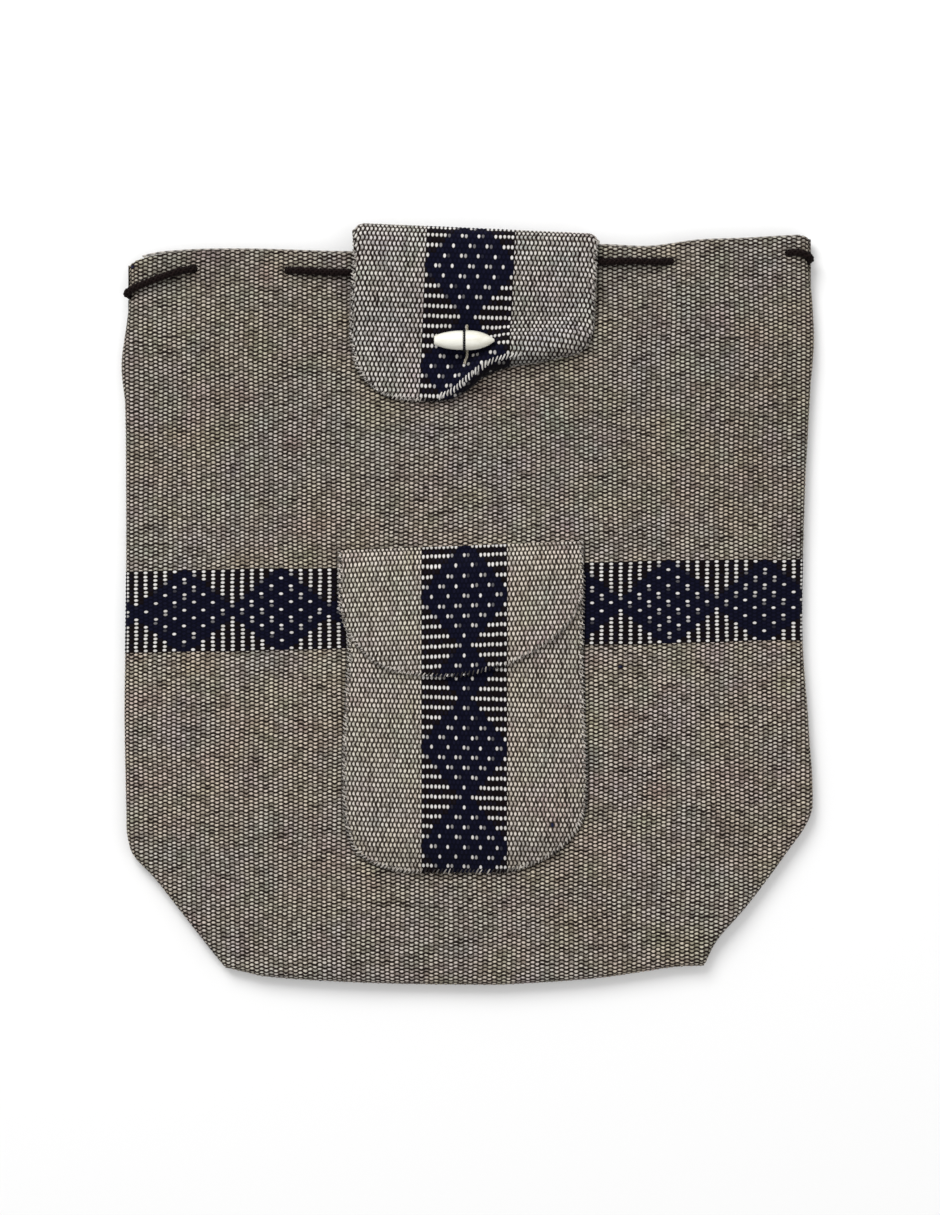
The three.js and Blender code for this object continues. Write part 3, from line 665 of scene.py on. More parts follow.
def dot_dome(tree, at, in_band):
    """1 on a dot of the band, 0 between the dots. Dots in the band are a little rounder."""
    wide = calc(tree, "DIVIDE", at.along, calc(tree, "MULTIPLY_ADD", in_band, 0.02, DOT_WIDE))
    long = calc(tree, "DIVIDE", at.side, DOT_LONG)
    square = calc(tree, "ADD", calc(tree, "POWER", wide, 2.0), calc(tree, "POWER", long, 2.0))
    return fade(tree, calc(tree, "SQRT", square), 1.2, 0.68)


# %% [markdown]
# ### The zigzag of the dark weft
# Between the pale yarns the dark weft shows as wavy lines, because it goes over one column and under the
# next. A line is where the dot count, swung up and down by a cosine of the column, is near a whole number.
# A second, fainter line swings the other way. Slow noise makes some rows darker, as uneven beating does.

# %% Weft lines
WEFT_SWING = 0.25
LINE_FROM = 0.23
DARK_RUN = 0.13


def weft_lines(tree, at):
    """1 on a dark weft line, 0 on the pale yarn."""
    swing = calc(tree, "COSINE", calc(tree, "MULTIPLY_ADD", at.column, math.pi, -math.pi / 2))
    wobble_place = point(tree, calc(tree, "MULTIPLY", at.column, 0.9), at.dot, at.seed)
    wobble = calc(tree, "MULTIPLY_ADD", cloud(tree, wobble_place, 0.8, 1.0), 0.3, 0.35)
    wobbled = calc(tree, "ADD", at.dot, wobble)

    def from_thread(lean, start):
        over = calc(tree, "SUBTRACT", wobbled, calc(tree, "MULTIPLY_ADD", swing, lean, start))
        return calc(tree, "ABSOLUTE", calc(tree, "SUBTRACT", calc(tree, "FRACT", over), 0.5))

    across, up = calc(tree, "MULTIPLY", at.column, 0.22), calc(tree, "MULTIPLY", at.dot, 0.8)
    dark_run = fade(tree, cloud(tree, point(tree, across, up, at.seed), 1.1, 2.0, 0.6), 0.56, 0.70)
    line_from = calc(tree, "MULTIPLY_ADD", dark_run, -DARK_RUN, LINE_FROM)
    line_from = calc(tree, "MULTIPLY_ADD", at.own[2], 0.06, line_from)
    line = fade(tree, calc(tree, "SUBTRACT", from_thread(WEFT_SWING, 0.25), line_from), -0.04, 0.08)
    faint = fade(tree, calc(tree, "SUBTRACT", from_thread(-WEFT_SWING, 0.75), line_from), 0.0, 0.1)
    faint = calc(tree, "MULTIPLY", faint, calc(tree, "MULTIPLY_ADD", at.own[0], 0.75, 0.15))
    return calc(tree, "MAXIMUM", line, faint)


# %% [markdown]
# ### Uneven wool
# No two lengths of hand-spun wool have the same colour. Three scales are mixed: each dot has its own tone,
# streaks follow the columns, and wide soft patches are warmer or cooler. A very rare dot is a blue fleck,
# where a dyed fibre got into the pale yarn.

# %% The colour of the wool
TINT_SHARE = 0.55
HUE_SHARE = 0.13
FLECK_FROM = 0.99984
FLECK_FULL = 0.9999
FLECK_COLOUR = (0.02, 0.025, 0.07)


def wool_colour(tree, at, pale, dull, tint_low, tint_high, upper):
    def slow(across, up, past=0.0):
        return point(tree, calc(tree, "MULTIPLY", at.column, across), calc(tree, "MULTIPLY", at.dot, up),
                     at.seed + past)

    patch = cloud(tree, slow(0.03, 0.024), 1.6, 3.0, 0.55)
    streak = cloud(tree, slow(0.2, 0.02), 2.0, 2.0, 0.6)
    hue = cloud(tree, slow(0.15, 0.12, 7), 1.0, 1.0, 0.5, "Color")
    yarn = blend(tree, fade(tree, at.lucky, 0.0, 0.75), dull, pale)
    low = blend(tree, TINT_SHARE, yarn, tint_low, "MULTIPLY")
    high = blend(tree, TINT_SHARE, yarn, tint_high, "MULTIPLY")
    yarn = blend(tree, fade(tree, patch, 0.35, 0.68), low, high)
    yarn = blend(tree, HUE_SHARE, yarn, hue, "OVERLAY")
    yarn = blend(tree, fade(tree, at.dot, -20.0, 60.0), yarn, blend(tree, 1.0, yarn, upper, "MULTIPLY"))
    yarn = blend(tree, fade(tree, at.lucky, FLECK_FROM, FLECK_FULL), yarn, FLECK_COLOUR)
    return blend(tree, fade(tree, streak, 0.45, 0.75, 0.0, 0.35), yarn, dull)


# %% [markdown]
# ### The cloth's material
# Now the parts meet in one material: plain cloth outside the band, dots on a dark ground inside it, and fine
# fibres over both. Painted shade darkens the sides of each column, the gaps between the band's dots and the
# places that the shade number marks. Wool is very rough and hardly mirrors, and its fuzz catches light at a
# slant, which is what Sheen is for. The fibres and the dots also drive a bump, for what is finer than the
# mesh.

# %% The woven cloth material
PAINTED_SHADE_COLOUR = (0.004, 0.003, 0.003)
PAINTED_SHADE_SHARE = 0.85


def woven_cloth(name, pale, dull, tint_low, tint_high, gap_yarn, upper=(1.0, 1.0, 1.0), seed=0.0):
    material, tree, shader = new_material(name, roughness=0.93, sheen=0.03, specular=0.03)
    at = weave_place(tree, seed)
    in_band, in_diamond, white = diamond_band(tree, at)
    dome = dot_dome(tree, at, in_band)
    line = weft_lines(tree, at)
    # beside: how much painted shade a place gets at the sides of its column, where the yarn turns down into
    # the groove
    beside = fade(tree, calc(tree, "ABSOLUTE", at.side), 0.2, 0.5)

    band_ground = blend(tree, in_diamond, BROWN_YARN, NAVY_YARN)
    band_yarn = blend(tree, calc(tree, "MULTIPLY", at.lucky, 0.5), band_ground, (0.011, 0.011, 0.027))
    band_yarn = blend(tree, white, band_yarn, blend(tree, at.lucky, (0.62, 0.6, 0.57), WHITE_YARN))
    wool = wool_colour(tree, at, pale, dull, tint_low, tint_high, upper)
    yarn = blend(tree, in_band, wool, band_yarn)

    fibre_across, fibre_up = calc(tree, "MULTIPLY", at.column, 3.0), calc(tree, "MULTIPLY", at.shifted, 9.0)
    fibre = cloud(tree, point(tree, fibre_across, fibre_up, seed), 1.3, 3.0, 0.6)
    lit = blend(tree, 0.5, yarn, blend(tree, fibre, (0.45, 0.44, 0.43), (1.0, 1.0, 1.0)), "MULTIPLY")
    # between the band's dots: the navy or brown ground yarn's own colour, drawn half way to black as painted
    # shade
    banded = blend(tree, dome, blend(tree, 0.5, band_ground, (0.001, 0.001, 0.001)), lit)
    # painted shade: the same yarn drawn darker at the sides of its column
    between = blend(tree, 1.0, lit, (0.27, 0.24, 0.21), "MULTIPLY")
    plain_cloth = blend(tree, line, blend(tree, beside, lit, between), gap_yarn)
    colour = blend(tree, in_band, plain_cloth, banded)
    # painted shade: where the yarn attribute's third number is high, the colour is drawn towards near black
    colour = blend(tree, calc(tree, "MULTIPLY", at.shade, PAINTED_SHADE_SHARE), colour, PAINTED_SHADE_COLOUR)
    tree.links.new(colour, shader.inputs["Base Color"])
    add_bump(tree, shader, calc(tree, "MULTIPLY_ADD", fibre, 0.35, dome), 0.35 * MM, 0.8)
    return material


# %% Three cloths
body_cloth = woven_cloth(
    "body_cloth", PALE_YARN, DULL_YARN, (1.0, 0.93, 0.84), (0.92, 0.95, 1.0), GROUND_YARN,
    upper=(0.86, 0.87, 0.86), seed=3.0,
)
flap_cloth = woven_cloth(
    "flap_cloth", (0.70, 0.665, 0.63), (0.40, 0.38, 0.355), (0.98, 0.95, 0.97), (0.95, 0.97, 0.93),
    GROUND_YARN, seed=11.0,
)
pocket_cloth = woven_cloth(
    "pocket_cloth", (0.74, 0.69, 0.62), (0.46, 0.42, 0.375), (1.0, 0.95, 0.88), (0.98, 0.97, 0.95),
    (0.028, 0.022, 0.018), seed=23.0,
)
for material in (body_cloth, flap_cloth, pocket_cloth):
    print(material.name, "has", len(material.node_tree.nodes), "nodes")

# %% [markdown]
# ## The drawstring's route
# The cord was threaded before the cloth was finished, so the cloth has to make way for it. Its route is a
# closed loop: a few stitches through the front, round both side folds, and back inside the bag. The points
# are the construction's, joined by the same kind of curve, which never overshoots between close points.

# %% Points of the route
# across: share of half the width; below: share of CORD_LINE under the mouth; over: 1 on the cloth, 0 behind
CORD_FRONT = [dict(zip(("across", "below", "over"), row)) for row in (
    (-0.93, 0.5, 1), (-0.84, 0.4, 1), (-0.775, 0.35, 0), (-0.66, 0.38, 0), (-0.56, 0.4, 0),
    (-0.5, 0.41, 1), (-0.42, 0.42, 1), (-0.335, 0.42, 1), (-0.27, 0.43, 0), (-0.2, 0.44, 0),
    (0.0, 0.44, 0), (0.2, 0.43, 0), (0.27, 0.42, 0), (0.335, 0.38, 1), (0.45, 0.32, 1),
    (0.555, 0.34, 1), (0.62, 0.35, 0), (0.74, 0.33, 0), (0.905, 0.35, 0), (0.962, 0.35, 1),
)]
CORD_BACK = ((0.88, 1.15), (0.6, 1.3), (0.2, 1.35), (-0.2, 1.35), (-0.6, 1.4), (-0.88, 1.45))
# out beyond the edge; the side's bulge; the side's drop; up, from inside to the front
CORD_TURN = ((-0.7, 0.0, 0.0, 1.0), (0.0, 1.0, 0.5, 0.5), (-0.7, 0.0, 0.85, 0.0), (-3.4, 0.0, 1.1, 0.0))
LEFT_TURN_BELOW = 0.48
LEFT_TURN_DROP = 4.5
LEFT_TURN_BULGE = 0.6
RIGHT_TURN_BELOW = 0.335
RIGHT_TURN_DROP = 4
RIGHT_TURN_BULGE = 0.2


def cord_points():
    over = rest_on(front_top, CORD_GAP + CORD / 2)
    behind = rest_on(front_top, -(CLOTH + LAY_GAP + CORD / 2))
    inside = EDGE_THICK / 2
    reach = CORD_GAP + CORD / 2

    def place(across, below):
        return across * float(half_width(across, 1)), float(mouth_line(across)) - below * CORD_LINE

    points = []
    for stop in CORD_FRONT:
        x, y = place(stop["across"], stop["below"])
        points.append((x, y, float((over if stop["over"] else behind)(x, y))))

    def turn_round(side, below, drop, bulge):
        y = place(side, below)[1]
        edge = float(half_width(side, bag_shares(side * BODY_WIDTH, y)[1]))
        return [
            (side * (edge + (out + bulge * bulge_share) * reach), y - drop * drop_share,
             inside + (EDGE_THICK + reach - inside) * up)
            for out, bulge_share, drop_share, up in CORD_TURN
        ]

    right = turn_round(1, RIGHT_TURN_BELOW, RIGHT_TURN_DROP, RIGHT_TURN_BULGE)
    back = [(*place(across, below), inside) for across, below in CORD_BACK]
    left = turn_round(-1, LEFT_TURN_BELOW, LEFT_TURN_DROP, LEFT_TURN_BULGE)
    return np.array(points + right + back + left[::-1])


# %% A closed curve through them
def closed_curve(points, steps):
    """Centripetal curve through points, steps samples to each stretch."""
    line = []
    share = np.arange(steps)[:, None] / steps
    count = len(points)
    for i in range(count):
        a, b, c, d = (points[(i + k - 1) % count] for k in range(4))
        ab, bc, cd = (math.sqrt(np.linalg.norm(q - p)) for p, q in ((a, b), (b, c), (c, d)))
        start = ((b - a) / ab - (c - a) / (ab + bc) + (c - b) / bc) * bc
        end = ((c - b) / bc - (d - b) / (bc + cd) + (d - c) / cd) * bc
        line.append(b + start * share + (3 * (c - b) - 2 * start - end) * share**2
                    + (2 * (b - c) + start + end) * share**3)
    return np.concatenate(line)


cord_line = closed_curve(cord_points(), 60)
cord_length = np.linalg.norm(np.roll(cord_line, -1, 0) - cord_line, axis=1).sum()
print(f"the drawstring's loop is {cord_length:.0f} mm long")


# %% [markdown]
# ### Where the cord goes through the cloth
# At each stitch of the drawstring the yarns part and close round it. A boolean would cut a hard-edged hole.
# Pushing the nearest points out of the cord's way, and leaving out those in its very middle, looks like
# yarns that part.

# %% Holes for the cord
HOLE_RADIUS = CORD / 2 + 0.15


def make_way(points):
    """Pushes cloth aside where the cord passes through it, and says which points stay."""
    near = np.flatnonzero(points[:, 1] > BODY_HEIGHT - 2 * CORD_LINE)
    stay = np.ones(len(points), bool)
    for part in np.array_split(near, max(1, len(near) // 2000)):
        away = points[part][:, None] - cord_line[None, ::4]
        distance = np.linalg.norm(away, axis=2)
        nearest = distance.argmin(1)
        gap = distance[np.arange(len(part)), nearest]
        inside = gap < HOLE_RADIUS
        stay[part[gap < 0.55 * HOLE_RADIUS]] = False
        way = away[np.arange(len(part)), nearest][inside] / np.maximum(gap[inside], 1e-3)[:, None]
        points[part[inside]] += way * (HOLE_RADIUS - gap[inside])[:, None]
    return points, stay


# %% [markdown]
# ## The main flap
# The flap's cloth is woven like the body's but used sideways, so its yarns run across and its band runs up.
# It starts inside the back, goes round over the mouth and lies on the front, and its lower right edge has
# rolled up. Each line down the flap is measured along the cloth, and the yarn rows are set off on it, so
# they crowd where the cloth turns away, as they do on the real one.

# %% Tables of the flap's edge
# across: share of half the width; drop, roll: shares of FLAP_DROP; lift: share of LIP_LIFT
FLAP_EDGE = [dict(zip(("across", "drop", "roll", "lift"), row)) for row in (
    (-1.0, 0.64, 0.02, 0.0), (-0.96, 0.78, 0.02, 0.0), (-0.87, 0.89, 0.02, 0.0), (-0.7, 0.975, 0.02, 0.0),
    (-0.5, 1.0, 0.02, 0.0), (-0.27, 0.993, 0.022, 0.05), (-0.13, 0.972, 0.038, 0.4),
    (-0.01, 0.912, 0.055, 0.8), (0.13, 0.832, 0.066, 0.9), (0.33, 0.776, 0.11, 1.0),
    (0.55, 0.744, 0.106, 1.0), (0.75, 0.706, 0.09, 0.9), (0.88, 0.68, 0.07, 0.6),
    (0.96, 0.62, 0.04, 0.25), (1.0, 0.52, 0.02, 0.0),
)]
flap_drop = columns(FLAP_EDGE, "across", "drop")
flap_roll = columns(FLAP_EDGE, "across", "roll")
flap_lift = columns(FLAP_EDGE, "across", "lift")
ROOT_SHARE = 0.12
FOLD_SHARE = 0.3
LIP_SHARE = 0.85
CORNER_ROUND = 5


# %% Lines down the flap
flap_rest = rest_on(front_top, LAY_GAP + CLOTH / 2)


def flap_line(u, v):
    """Points of the flap's middle surface, at shares u across and v along."""
    lean = math.sin(math.radians(FLAP_TILT))
    side = u * FLAP_WIDTH / 2
    fold_top = BODY_HEIGHT + FLAP_RISE - side * lean
    mouth = mouth_line((FLAP_OFFSET + side) / (BODY_WIDTH / 2))
    roll = flap_roll(u) * FLAP_DROP
    lip = fold_top - flap_drop(u) * FLAP_DROP + roll
    lift = flap_lift(u) * LIP_LIFT

    def x_at(y):
        return FLAP_OFFSET + side - (fold_top - y) * lean

    def on_front(y):
        room = 1 - smooth(mouth - y, FOLD_FLAT, FOLD_FLAT + FOLD_RUN)
        return flap_rest(x_at(y), y) + FOLD_LIFT * room

    root_z = CLOTH + SEAT_GAP + CLOTH / 2
    root_y = mouth - FLAP_ROOT * (1 - v / ROOT_SHARE)
    fold_turn = np.clip((v - ROOT_SHARE) / (FOLD_SHARE - ROOT_SHARE), 0, 1) * math.pi
    corner = np.clip((np.abs(u) - 0.92) / 0.08, 0, 1)
    reach = fold_top - mouth - CLOTH / 2 - CORNER_ROUND * (1 - np.sqrt(1 - corner**2))
    fold_y = mouth + reach * np.sin(fold_turn)
    fold_z = root_z + (on_front(mouth) - root_z) / 2 * (1 - np.cos(fold_turn))
    flat_y = mouth + (lip - mouth) * np.clip((v - FOLD_SHARE) / (LIP_SHARE - FOLD_SHARE), 0, 1)
    flat_z = on_front(flat_y) + lift * (1 - smooth(flat_y - lip, 0, LIP_RUN))
    lip_turn = np.clip((v - LIP_SHARE) / (1 - LIP_SHARE), 0, 1) * math.pi / 2
    lip_y = lip - roll * np.sin(lip_turn)
    lip_z = on_front(lip_y) + lift * np.cos(lip_turn)
    stretches = [v < ROOT_SHARE, v < FOLD_SHARE, v < LIP_SHARE]
    y = np.select(stretches, [root_y, fold_y, flat_y], lip_y)
    z = np.select(stretches, [root_z + 0 * y, fold_z, flat_z], lip_z)
    return np.stack([x_at(y), y, z], -1)


FLAP_SAMPLES = np.concatenate([
    np.linspace(0, ROOT_SHARE, 20, endpoint=False), np.linspace(ROOT_SHARE, FOLD_SHARE, 60, endpoint=False),
    np.linspace(FOLD_SHARE, LIP_SHARE, 160, endpoint=False), np.linspace(LIP_SHARE, 1, 40),
])
FOLD_TOP_SHARE = (ROOT_SHARE + FOLD_SHARE) / 2


def flap_lengths(s):
    """Lines down the flap at s across, their lengths along the cloth, and the length at the fold's top."""
    lines = flap_line((s / (FLAP_WIDTH / 2))[:, None], FLAP_SAMPLES[None])
    steps = np.linalg.norm(np.diff(lines, axis=1), axis=2)
    length = np.concatenate([np.zeros((len(s), 1)), np.cumsum(steps, 1)], 1)
    top = np.array([np.interp(FOLD_TOP_SHARE, FLAP_SAMPLES, row) for row in length])
    return lines, length, top


def flap_face(s, t):
    """The flap's middle surface: s across, t along the cloth, 0 at the fold's top, below 0 in front."""
    lines, length, top = flap_lengths(s[0])
    out = np.empty(s.shape + (3,))
    for i in range(s.shape[1]):
        for axis in range(3):
            out[:, i, axis] = np.interp(top[i] - t[:, i], length[i], lines[i, :, axis])
    return out


# %% [markdown]
# ## The pocket and its flap
# Both lie on the front as heights over it. The pocket's round corners are cut from the same cloth, so the
# grid's points are moved onto the cut from below and from the sides.

# %% The pocket's surface
# up: share of its height; left, right: shares of half its width
POCKET_OUTLINE = [dict(zip(("up", "left", "right"), row)) for row in (
    (0.0, 0.45, 0.3), (0.012, 0.61, 0.44), (0.038, 0.777, 0.62), (0.083, 0.909, 0.793),
    (0.153, 0.967, 0.942), (0.23, 0.992, 1.0), (0.39, 0.996, 1.0), (0.59, 0.975, 0.983),
    (0.75, 0.955, 0.975), (1.0, 0.967, 0.983),
)]
pocket_left = columns(POCKET_OUTLINE, "up", "left")
pocket_right = columns(POCKET_OUTLINE, "up", "right")


def pocket_half(s, up):
    return POCKET_WIDTH / 2 * np.where(s < 0, pocket_left(up), pocket_right(up))


def pocket_bottom(s):
    """How far up the round corner's cut is, at s from the pocket's middle."""
    up = np.linspace(0, 0.23, 120)
    share = np.abs(s) / (POCKET_WIDTH / 2)
    height = np.where(s < 0, np.interp(share, pocket_left(up), up), np.interp(share, pocket_right(up), up))
    return height * POCKET_HEIGHT


def pocket_lift(x, y):
    up = np.clip((y - POCKET_UP) / POCKET_HEIGHT, 0, 1)
    s = x - POCKET_OFFSET
    from_side = np.maximum(pocket_half(s, up) - np.abs(s), 0)
    from_bottom = up * POCKET_HEIGHT
    return POCKET_DEPTH * (1 - np.exp(-((from_side / POCKET_RUN) ** 2))) * (
        1 - np.exp(-((from_bottom / POCKET_RUN) ** 2)))


def waved_front(x, y):
    return front_top(x, y) + soft_waves(x, y)


on_front_cloth = rest_on(waved_front, LAY_GAP + CLOTH / 2)


def pocket_middle(x, y):
    return on_front_cloth(x, y) + pocket_lift(x, y)


def pocket_face(s, t):
    x = POCKET_OFFSET + s
    return np.stack([x, t, pocket_middle(x, t)], -1)


# %% [markdown]
# ### The pocket's flap
# It is sewn to the front above the pocket and falls over the pocket's mouth. So its surface is the front's
# height at its root, and the pocket's height farther down, with a soft fall between the two.

# %% The pocket flap's surface
# across: share of half its width; drop: share of POCKET_FLAP_DROP
pocket_flap_drop = curve(
    (-1.0, 0.4), (-0.97, 0.54), (-0.92, 0.64), (-0.82, 0.77), (-0.64, 0.91), (-0.31, 0.985), (-0.02, 1.0),
    (0.2, 0.965), (0.42, 0.91), (0.73, 0.755), (0.87, 0.64), (0.95, 0.53), (1.0, 0.4),
)


POCKET_FLAP_LEAN = math.tan(math.radians(POCKET_FLAP_TILT))
POCKET_FLAP_ROOT = POCKET_UP + POCKET_HEIGHT + POCKET_FLAP_ABOVE


def pocket_flap_middle(x, y):
    mouth = POCKET_UP + POCKET_HEIGHT
    held = np.minimum(y, mouth)
    over = rest_on(pocket_middle, CLOTH + COVER_GAP)(x, held) - on_front_cloth(x, held)
    fall = 1 - smooth(y - mouth, LAY_GAP + CLOTH, POCKET_FLAP_ABOVE - CLOTH)
    return on_front_cloth(x, y) + over * fall


def pocket_flap_face(s, t):
    x = POCKET_FLAP_OFFSET + s
    return np.stack([x, t, pocket_flap_middle(x, t)], -1)


# %% [markdown]
# ### Lines along the cut edges
# The stitches that are made later need the edges as lines in space, and a second line just inside each edge,
# which tells a stitch where the cloth is. Both are read from the same surfaces, so they always fit.

# %% The edges of the pocket and the flaps
def inside_of(edge, surface, side):
    """A line 1 mm inside an edge of a surface that is a height over the floor."""
    ahead = np.gradient(edge[:, :2], axis=0)
    ahead /= np.linalg.norm(ahead, axis=1, keepdims=True)
    x = edge[:, 0] - side * ahead[:, 1]
    y = edge[:, 1] + side * ahead[:, 0]
    return np.stack([x, y, surface(x, y)], -1)


def over(surface, x, y):
    return np.stack([x, y, surface(x, y)], -1)


up = np.concatenate([np.linspace(1, 0.25, 60), 0.25 * np.cos(np.linspace(0, math.pi / 2, 60))[1:] ** 1.5])
pocket_y = POCKET_UP + POCKET_HEIGHT * up
left = over(pocket_middle, POCKET_OFFSET - POCKET_WIDTH / 2 * pocket_left(up), pocket_y)
right = over(pocket_middle, POCKET_OFFSET + POCKET_WIDTH / 2 * pocket_right(up), pocket_y)
pocket_edge = np.concatenate([left, right[::-1]])
pocket_inner = inside_of(pocket_edge, pocket_middle, 1)

across = np.linspace(-1, 1, 161)
x = POCKET_FLAP_OFFSET + POCKET_FLAP_WIDTH / 2 * across
root_y = POCKET_FLAP_ROOT + (x - POCKET_FLAP_OFFSET) * POCKET_FLAP_LEAN
low_y = root_y - POCKET_FLAP_DROP * pocket_flap_drop(across)
side_y = np.linspace(1, 0, 25)[:-1]
edge_y = np.concatenate([low_y[0] + (root_y[0] - low_y[0]) * side_y, low_y,
                         (low_y[-1] + (root_y[-1] - low_y[-1]) * side_y)[::-1]])
edge_x = np.concatenate([np.full(24, x[0]), x, np.full(24, x[-1])])
pocket_flap_edge = over(pocket_flap_middle, edge_x, edge_y)
pocket_flap_inner = inside_of(pocket_flap_edge, pocket_flap_middle, 1)

across = np.sin(np.linspace(-math.pi / 2, math.pi / 2, 201))
side_v = np.linspace((ROOT_SHARE + FOLD_SHARE) / 2, 1, 61)[:-1]


def round_the_flap(share):
    """A line down, along and up the flap's edge, or a little inside it."""
    down, back_up = flap_line(-share, side_v), flap_line(share, side_v)[::-1]
    return np.concatenate([down, flap_line(across * share, share), back_up])


main_flap_edge = round_the_flap(1.0)
main_flap_inner = round_the_flap(0.985)
edges = {"pocket": pocket_edge, "pocket flap": pocket_flap_edge, "main flap": main_flap_edge}
for name, line in edges.items():
    print(f"the {name}'s cut edge is {np.linalg.norm(np.diff(line, axis=0), axis=1).sum():.0f} mm long")


# %% [markdown]
# ### Shade in the seams
# Right beside a seam, an edge or a cord, the yarns lie so deep that hardly any light gets in. A render finds
# only part of that, since the real gaps are finer than the mesh. So each point of the cloth carries a number
# for the painted shade there, and the shader darkens its colour by it. It depends on the place alone, never
# on the camera.

# %% How dark the cloth is beside an edge
def distances(points, line, reach):
    """Distances on the floor's plane from points to a line of points, and reach for those farther away."""
    gap = np.full(len(points), float(reach))
    low, high = line[:, :2].min(0) - reach, line[:, :2].max(0) + reach
    inside = np.flatnonzero(((points[:, :2] > low) & (points[:, :2] < high)).all(1))
    for part in np.array_split(inside, max(1, len(inside) // 4000)):
        away = points[part][:, None, :2] - line[None, :, :2]
        gap[part] = np.minimum(np.linalg.norm(away, axis=2).min(1), reach)
    return gap


def body_shade(points):
    """How much painted shade the body's cloth gets: 1 deep in a seam, under an edge or pressed under a cord,
    0 in the open.
    """
    # painted shade beside the pocket's sewn edge, the pocket flap's edge, the main flap's edge and the cord,
    # and on the cloth that the cord gathers in at the mouth's left
    seam = np.exp(-((distances(points, pocket_edge, 4) / 1.25) ** 2))
    flap_seam_shade = 0.75 * np.exp(-((distances(points, pocket_flap_edge, 4) / 1.1) ** 2))
    shade_under_flap = 0.7 * np.exp(-((distances(points, main_flap_edge, 6) / 1.5) ** 2))
    outside_cord = cord_line[cord_line[:, 2] > EDGE_THICK][::2]
    shade_beside_cord = 0.6 * np.exp(-(np.maximum(distances(points, outside_cord, 9) - 1.6, 0) / 1.0) ** 2)
    on_top = points[:, 2] > EDGE_THICK * 0.7
    gathered_shade = 0.22 * smooth(-points[:, 0], 118, 150) * smooth(points[:, 1], 398, 410)
    return np.maximum.reduce([seam, flap_seam_shade, shade_under_flap, shade_beside_cord, gathered_shade]) * on_top


# %% [markdown]
# ## The body's cloth
# A real morral's body is one tube of cloth. Its front face is laid out on the unrolled cloth: `s` runs
# across and rolls round the side folds, `t` runs up and rolls round the bottom fold and over the mouth's
# edge. So the yarns keep their width where the cloth turns away.

# %% The front as an unrolled cloth
SIDE_ROUND = EDGE_THICK / 2
MOUTH_ROUND = CLOTH / 2
MOUTH_HEM = 30
YARN_SWAY = 0.35


def lean_of(t):
    """How much a yarn row climbs to the right: none at the bottom seam, BAND_LEAN from the band up."""
    share = np.clip(t / BAND_UP, 0, 1)
    return BAND_LEAN * share * share * (3 - 2 * share)


def roll_bottom(above):
    """Height above the bottom fold, and how open the bag is there, at a length along the cloth."""
    angle = np.clip((SIDE_ROUND - above) / SIDE_ROUND, 0, math.pi / 2 + 0.2)
    return np.where(above < SIDE_ROUND, SIDE_ROUND * (1 - np.sin(angle)), above), np.cos(angle)


def front_face(s, t):
    """The outer face of the bag's front, out of lengths along the cloth."""
    across, up = bag_shares(s, t)
    above, open_share = roll_bottom(t - bottom_line(across))
    y = np.where(t - bottom_line(across) < SIDE_ROUND, bottom_line(across) + above, t)
    across, up = bag_shares(s, y)
    edge = np.where(s < 0, -1, 1) * half_width(s, up)
    straight = np.abs(edge) - SIDE_ROUND
    over = np.clip((np.abs(s) - straight) / SIDE_ROUND, 0, math.pi / 2 + 0.2)
    x = np.where(np.abs(s) > straight, np.sign(edge) * (straight + SIDE_ROUND * np.sin(over)), s)
    across, up = bag_shares(x, y)
    inner = np.clip(x, -straight, straight)
    top = front_height(inner / half_width(inner, up), up) + soft_waves(x, y) * np.cos(over) * open_share
    z = SIDE_ROUND + (top - SIDE_ROUND) * np.cos(over) * open_share
    past = t - (mouth_line(across) - MOUTH_ROUND)
    turn = np.clip(past / MOUTH_ROUND, 0, math.pi)
    rolled_y = mouth_line(across) - MOUTH_ROUND + MOUTH_ROUND * np.sin(turn)
    below = np.maximum(past - math.pi * MOUTH_ROUND, 0)
    y = np.where(past > 0, rolled_y - below, y)
    z = np.where(past > 0, z - MOUTH_ROUND * (1 - np.cos(turn)), z)
    return np.stack([x, y, z], -1)


def body_count(s, t):
    """Yarn count of a place on the body's cloth."""
    column = 0.5 + (s - DIAMOND_AT) / COLUMN
    dot = 0.5 + (t - BAND_UP - lean_of(t) * s) / DOT
    return column, dot


# %% [markdown]
# ### The front's grid
# Hand-woven yarns wander a little, so the grid is swayed by slow sines, but not at the cut edges. The front
# is made in three pieces, below, in and above the band, which keeps each mesh light enough to handle. The
# cuts run along yarn rows, where they can't be seen.

# %% The grid of the front, and its cut into three pieces
def yarn_sway(s, t, seed):
    """A small wandering of the yarns, in mm, so that no row is dead straight."""
    return YARN_SWAY * (
        np.sin(s / 31 + t / 47 + seed) + 0.6 * np.sin(s / 13 - t / 19 + 2 * seed)
        + 0.4 * np.sin(t / 7.5 + s / 41 + 3 * seed)
    )


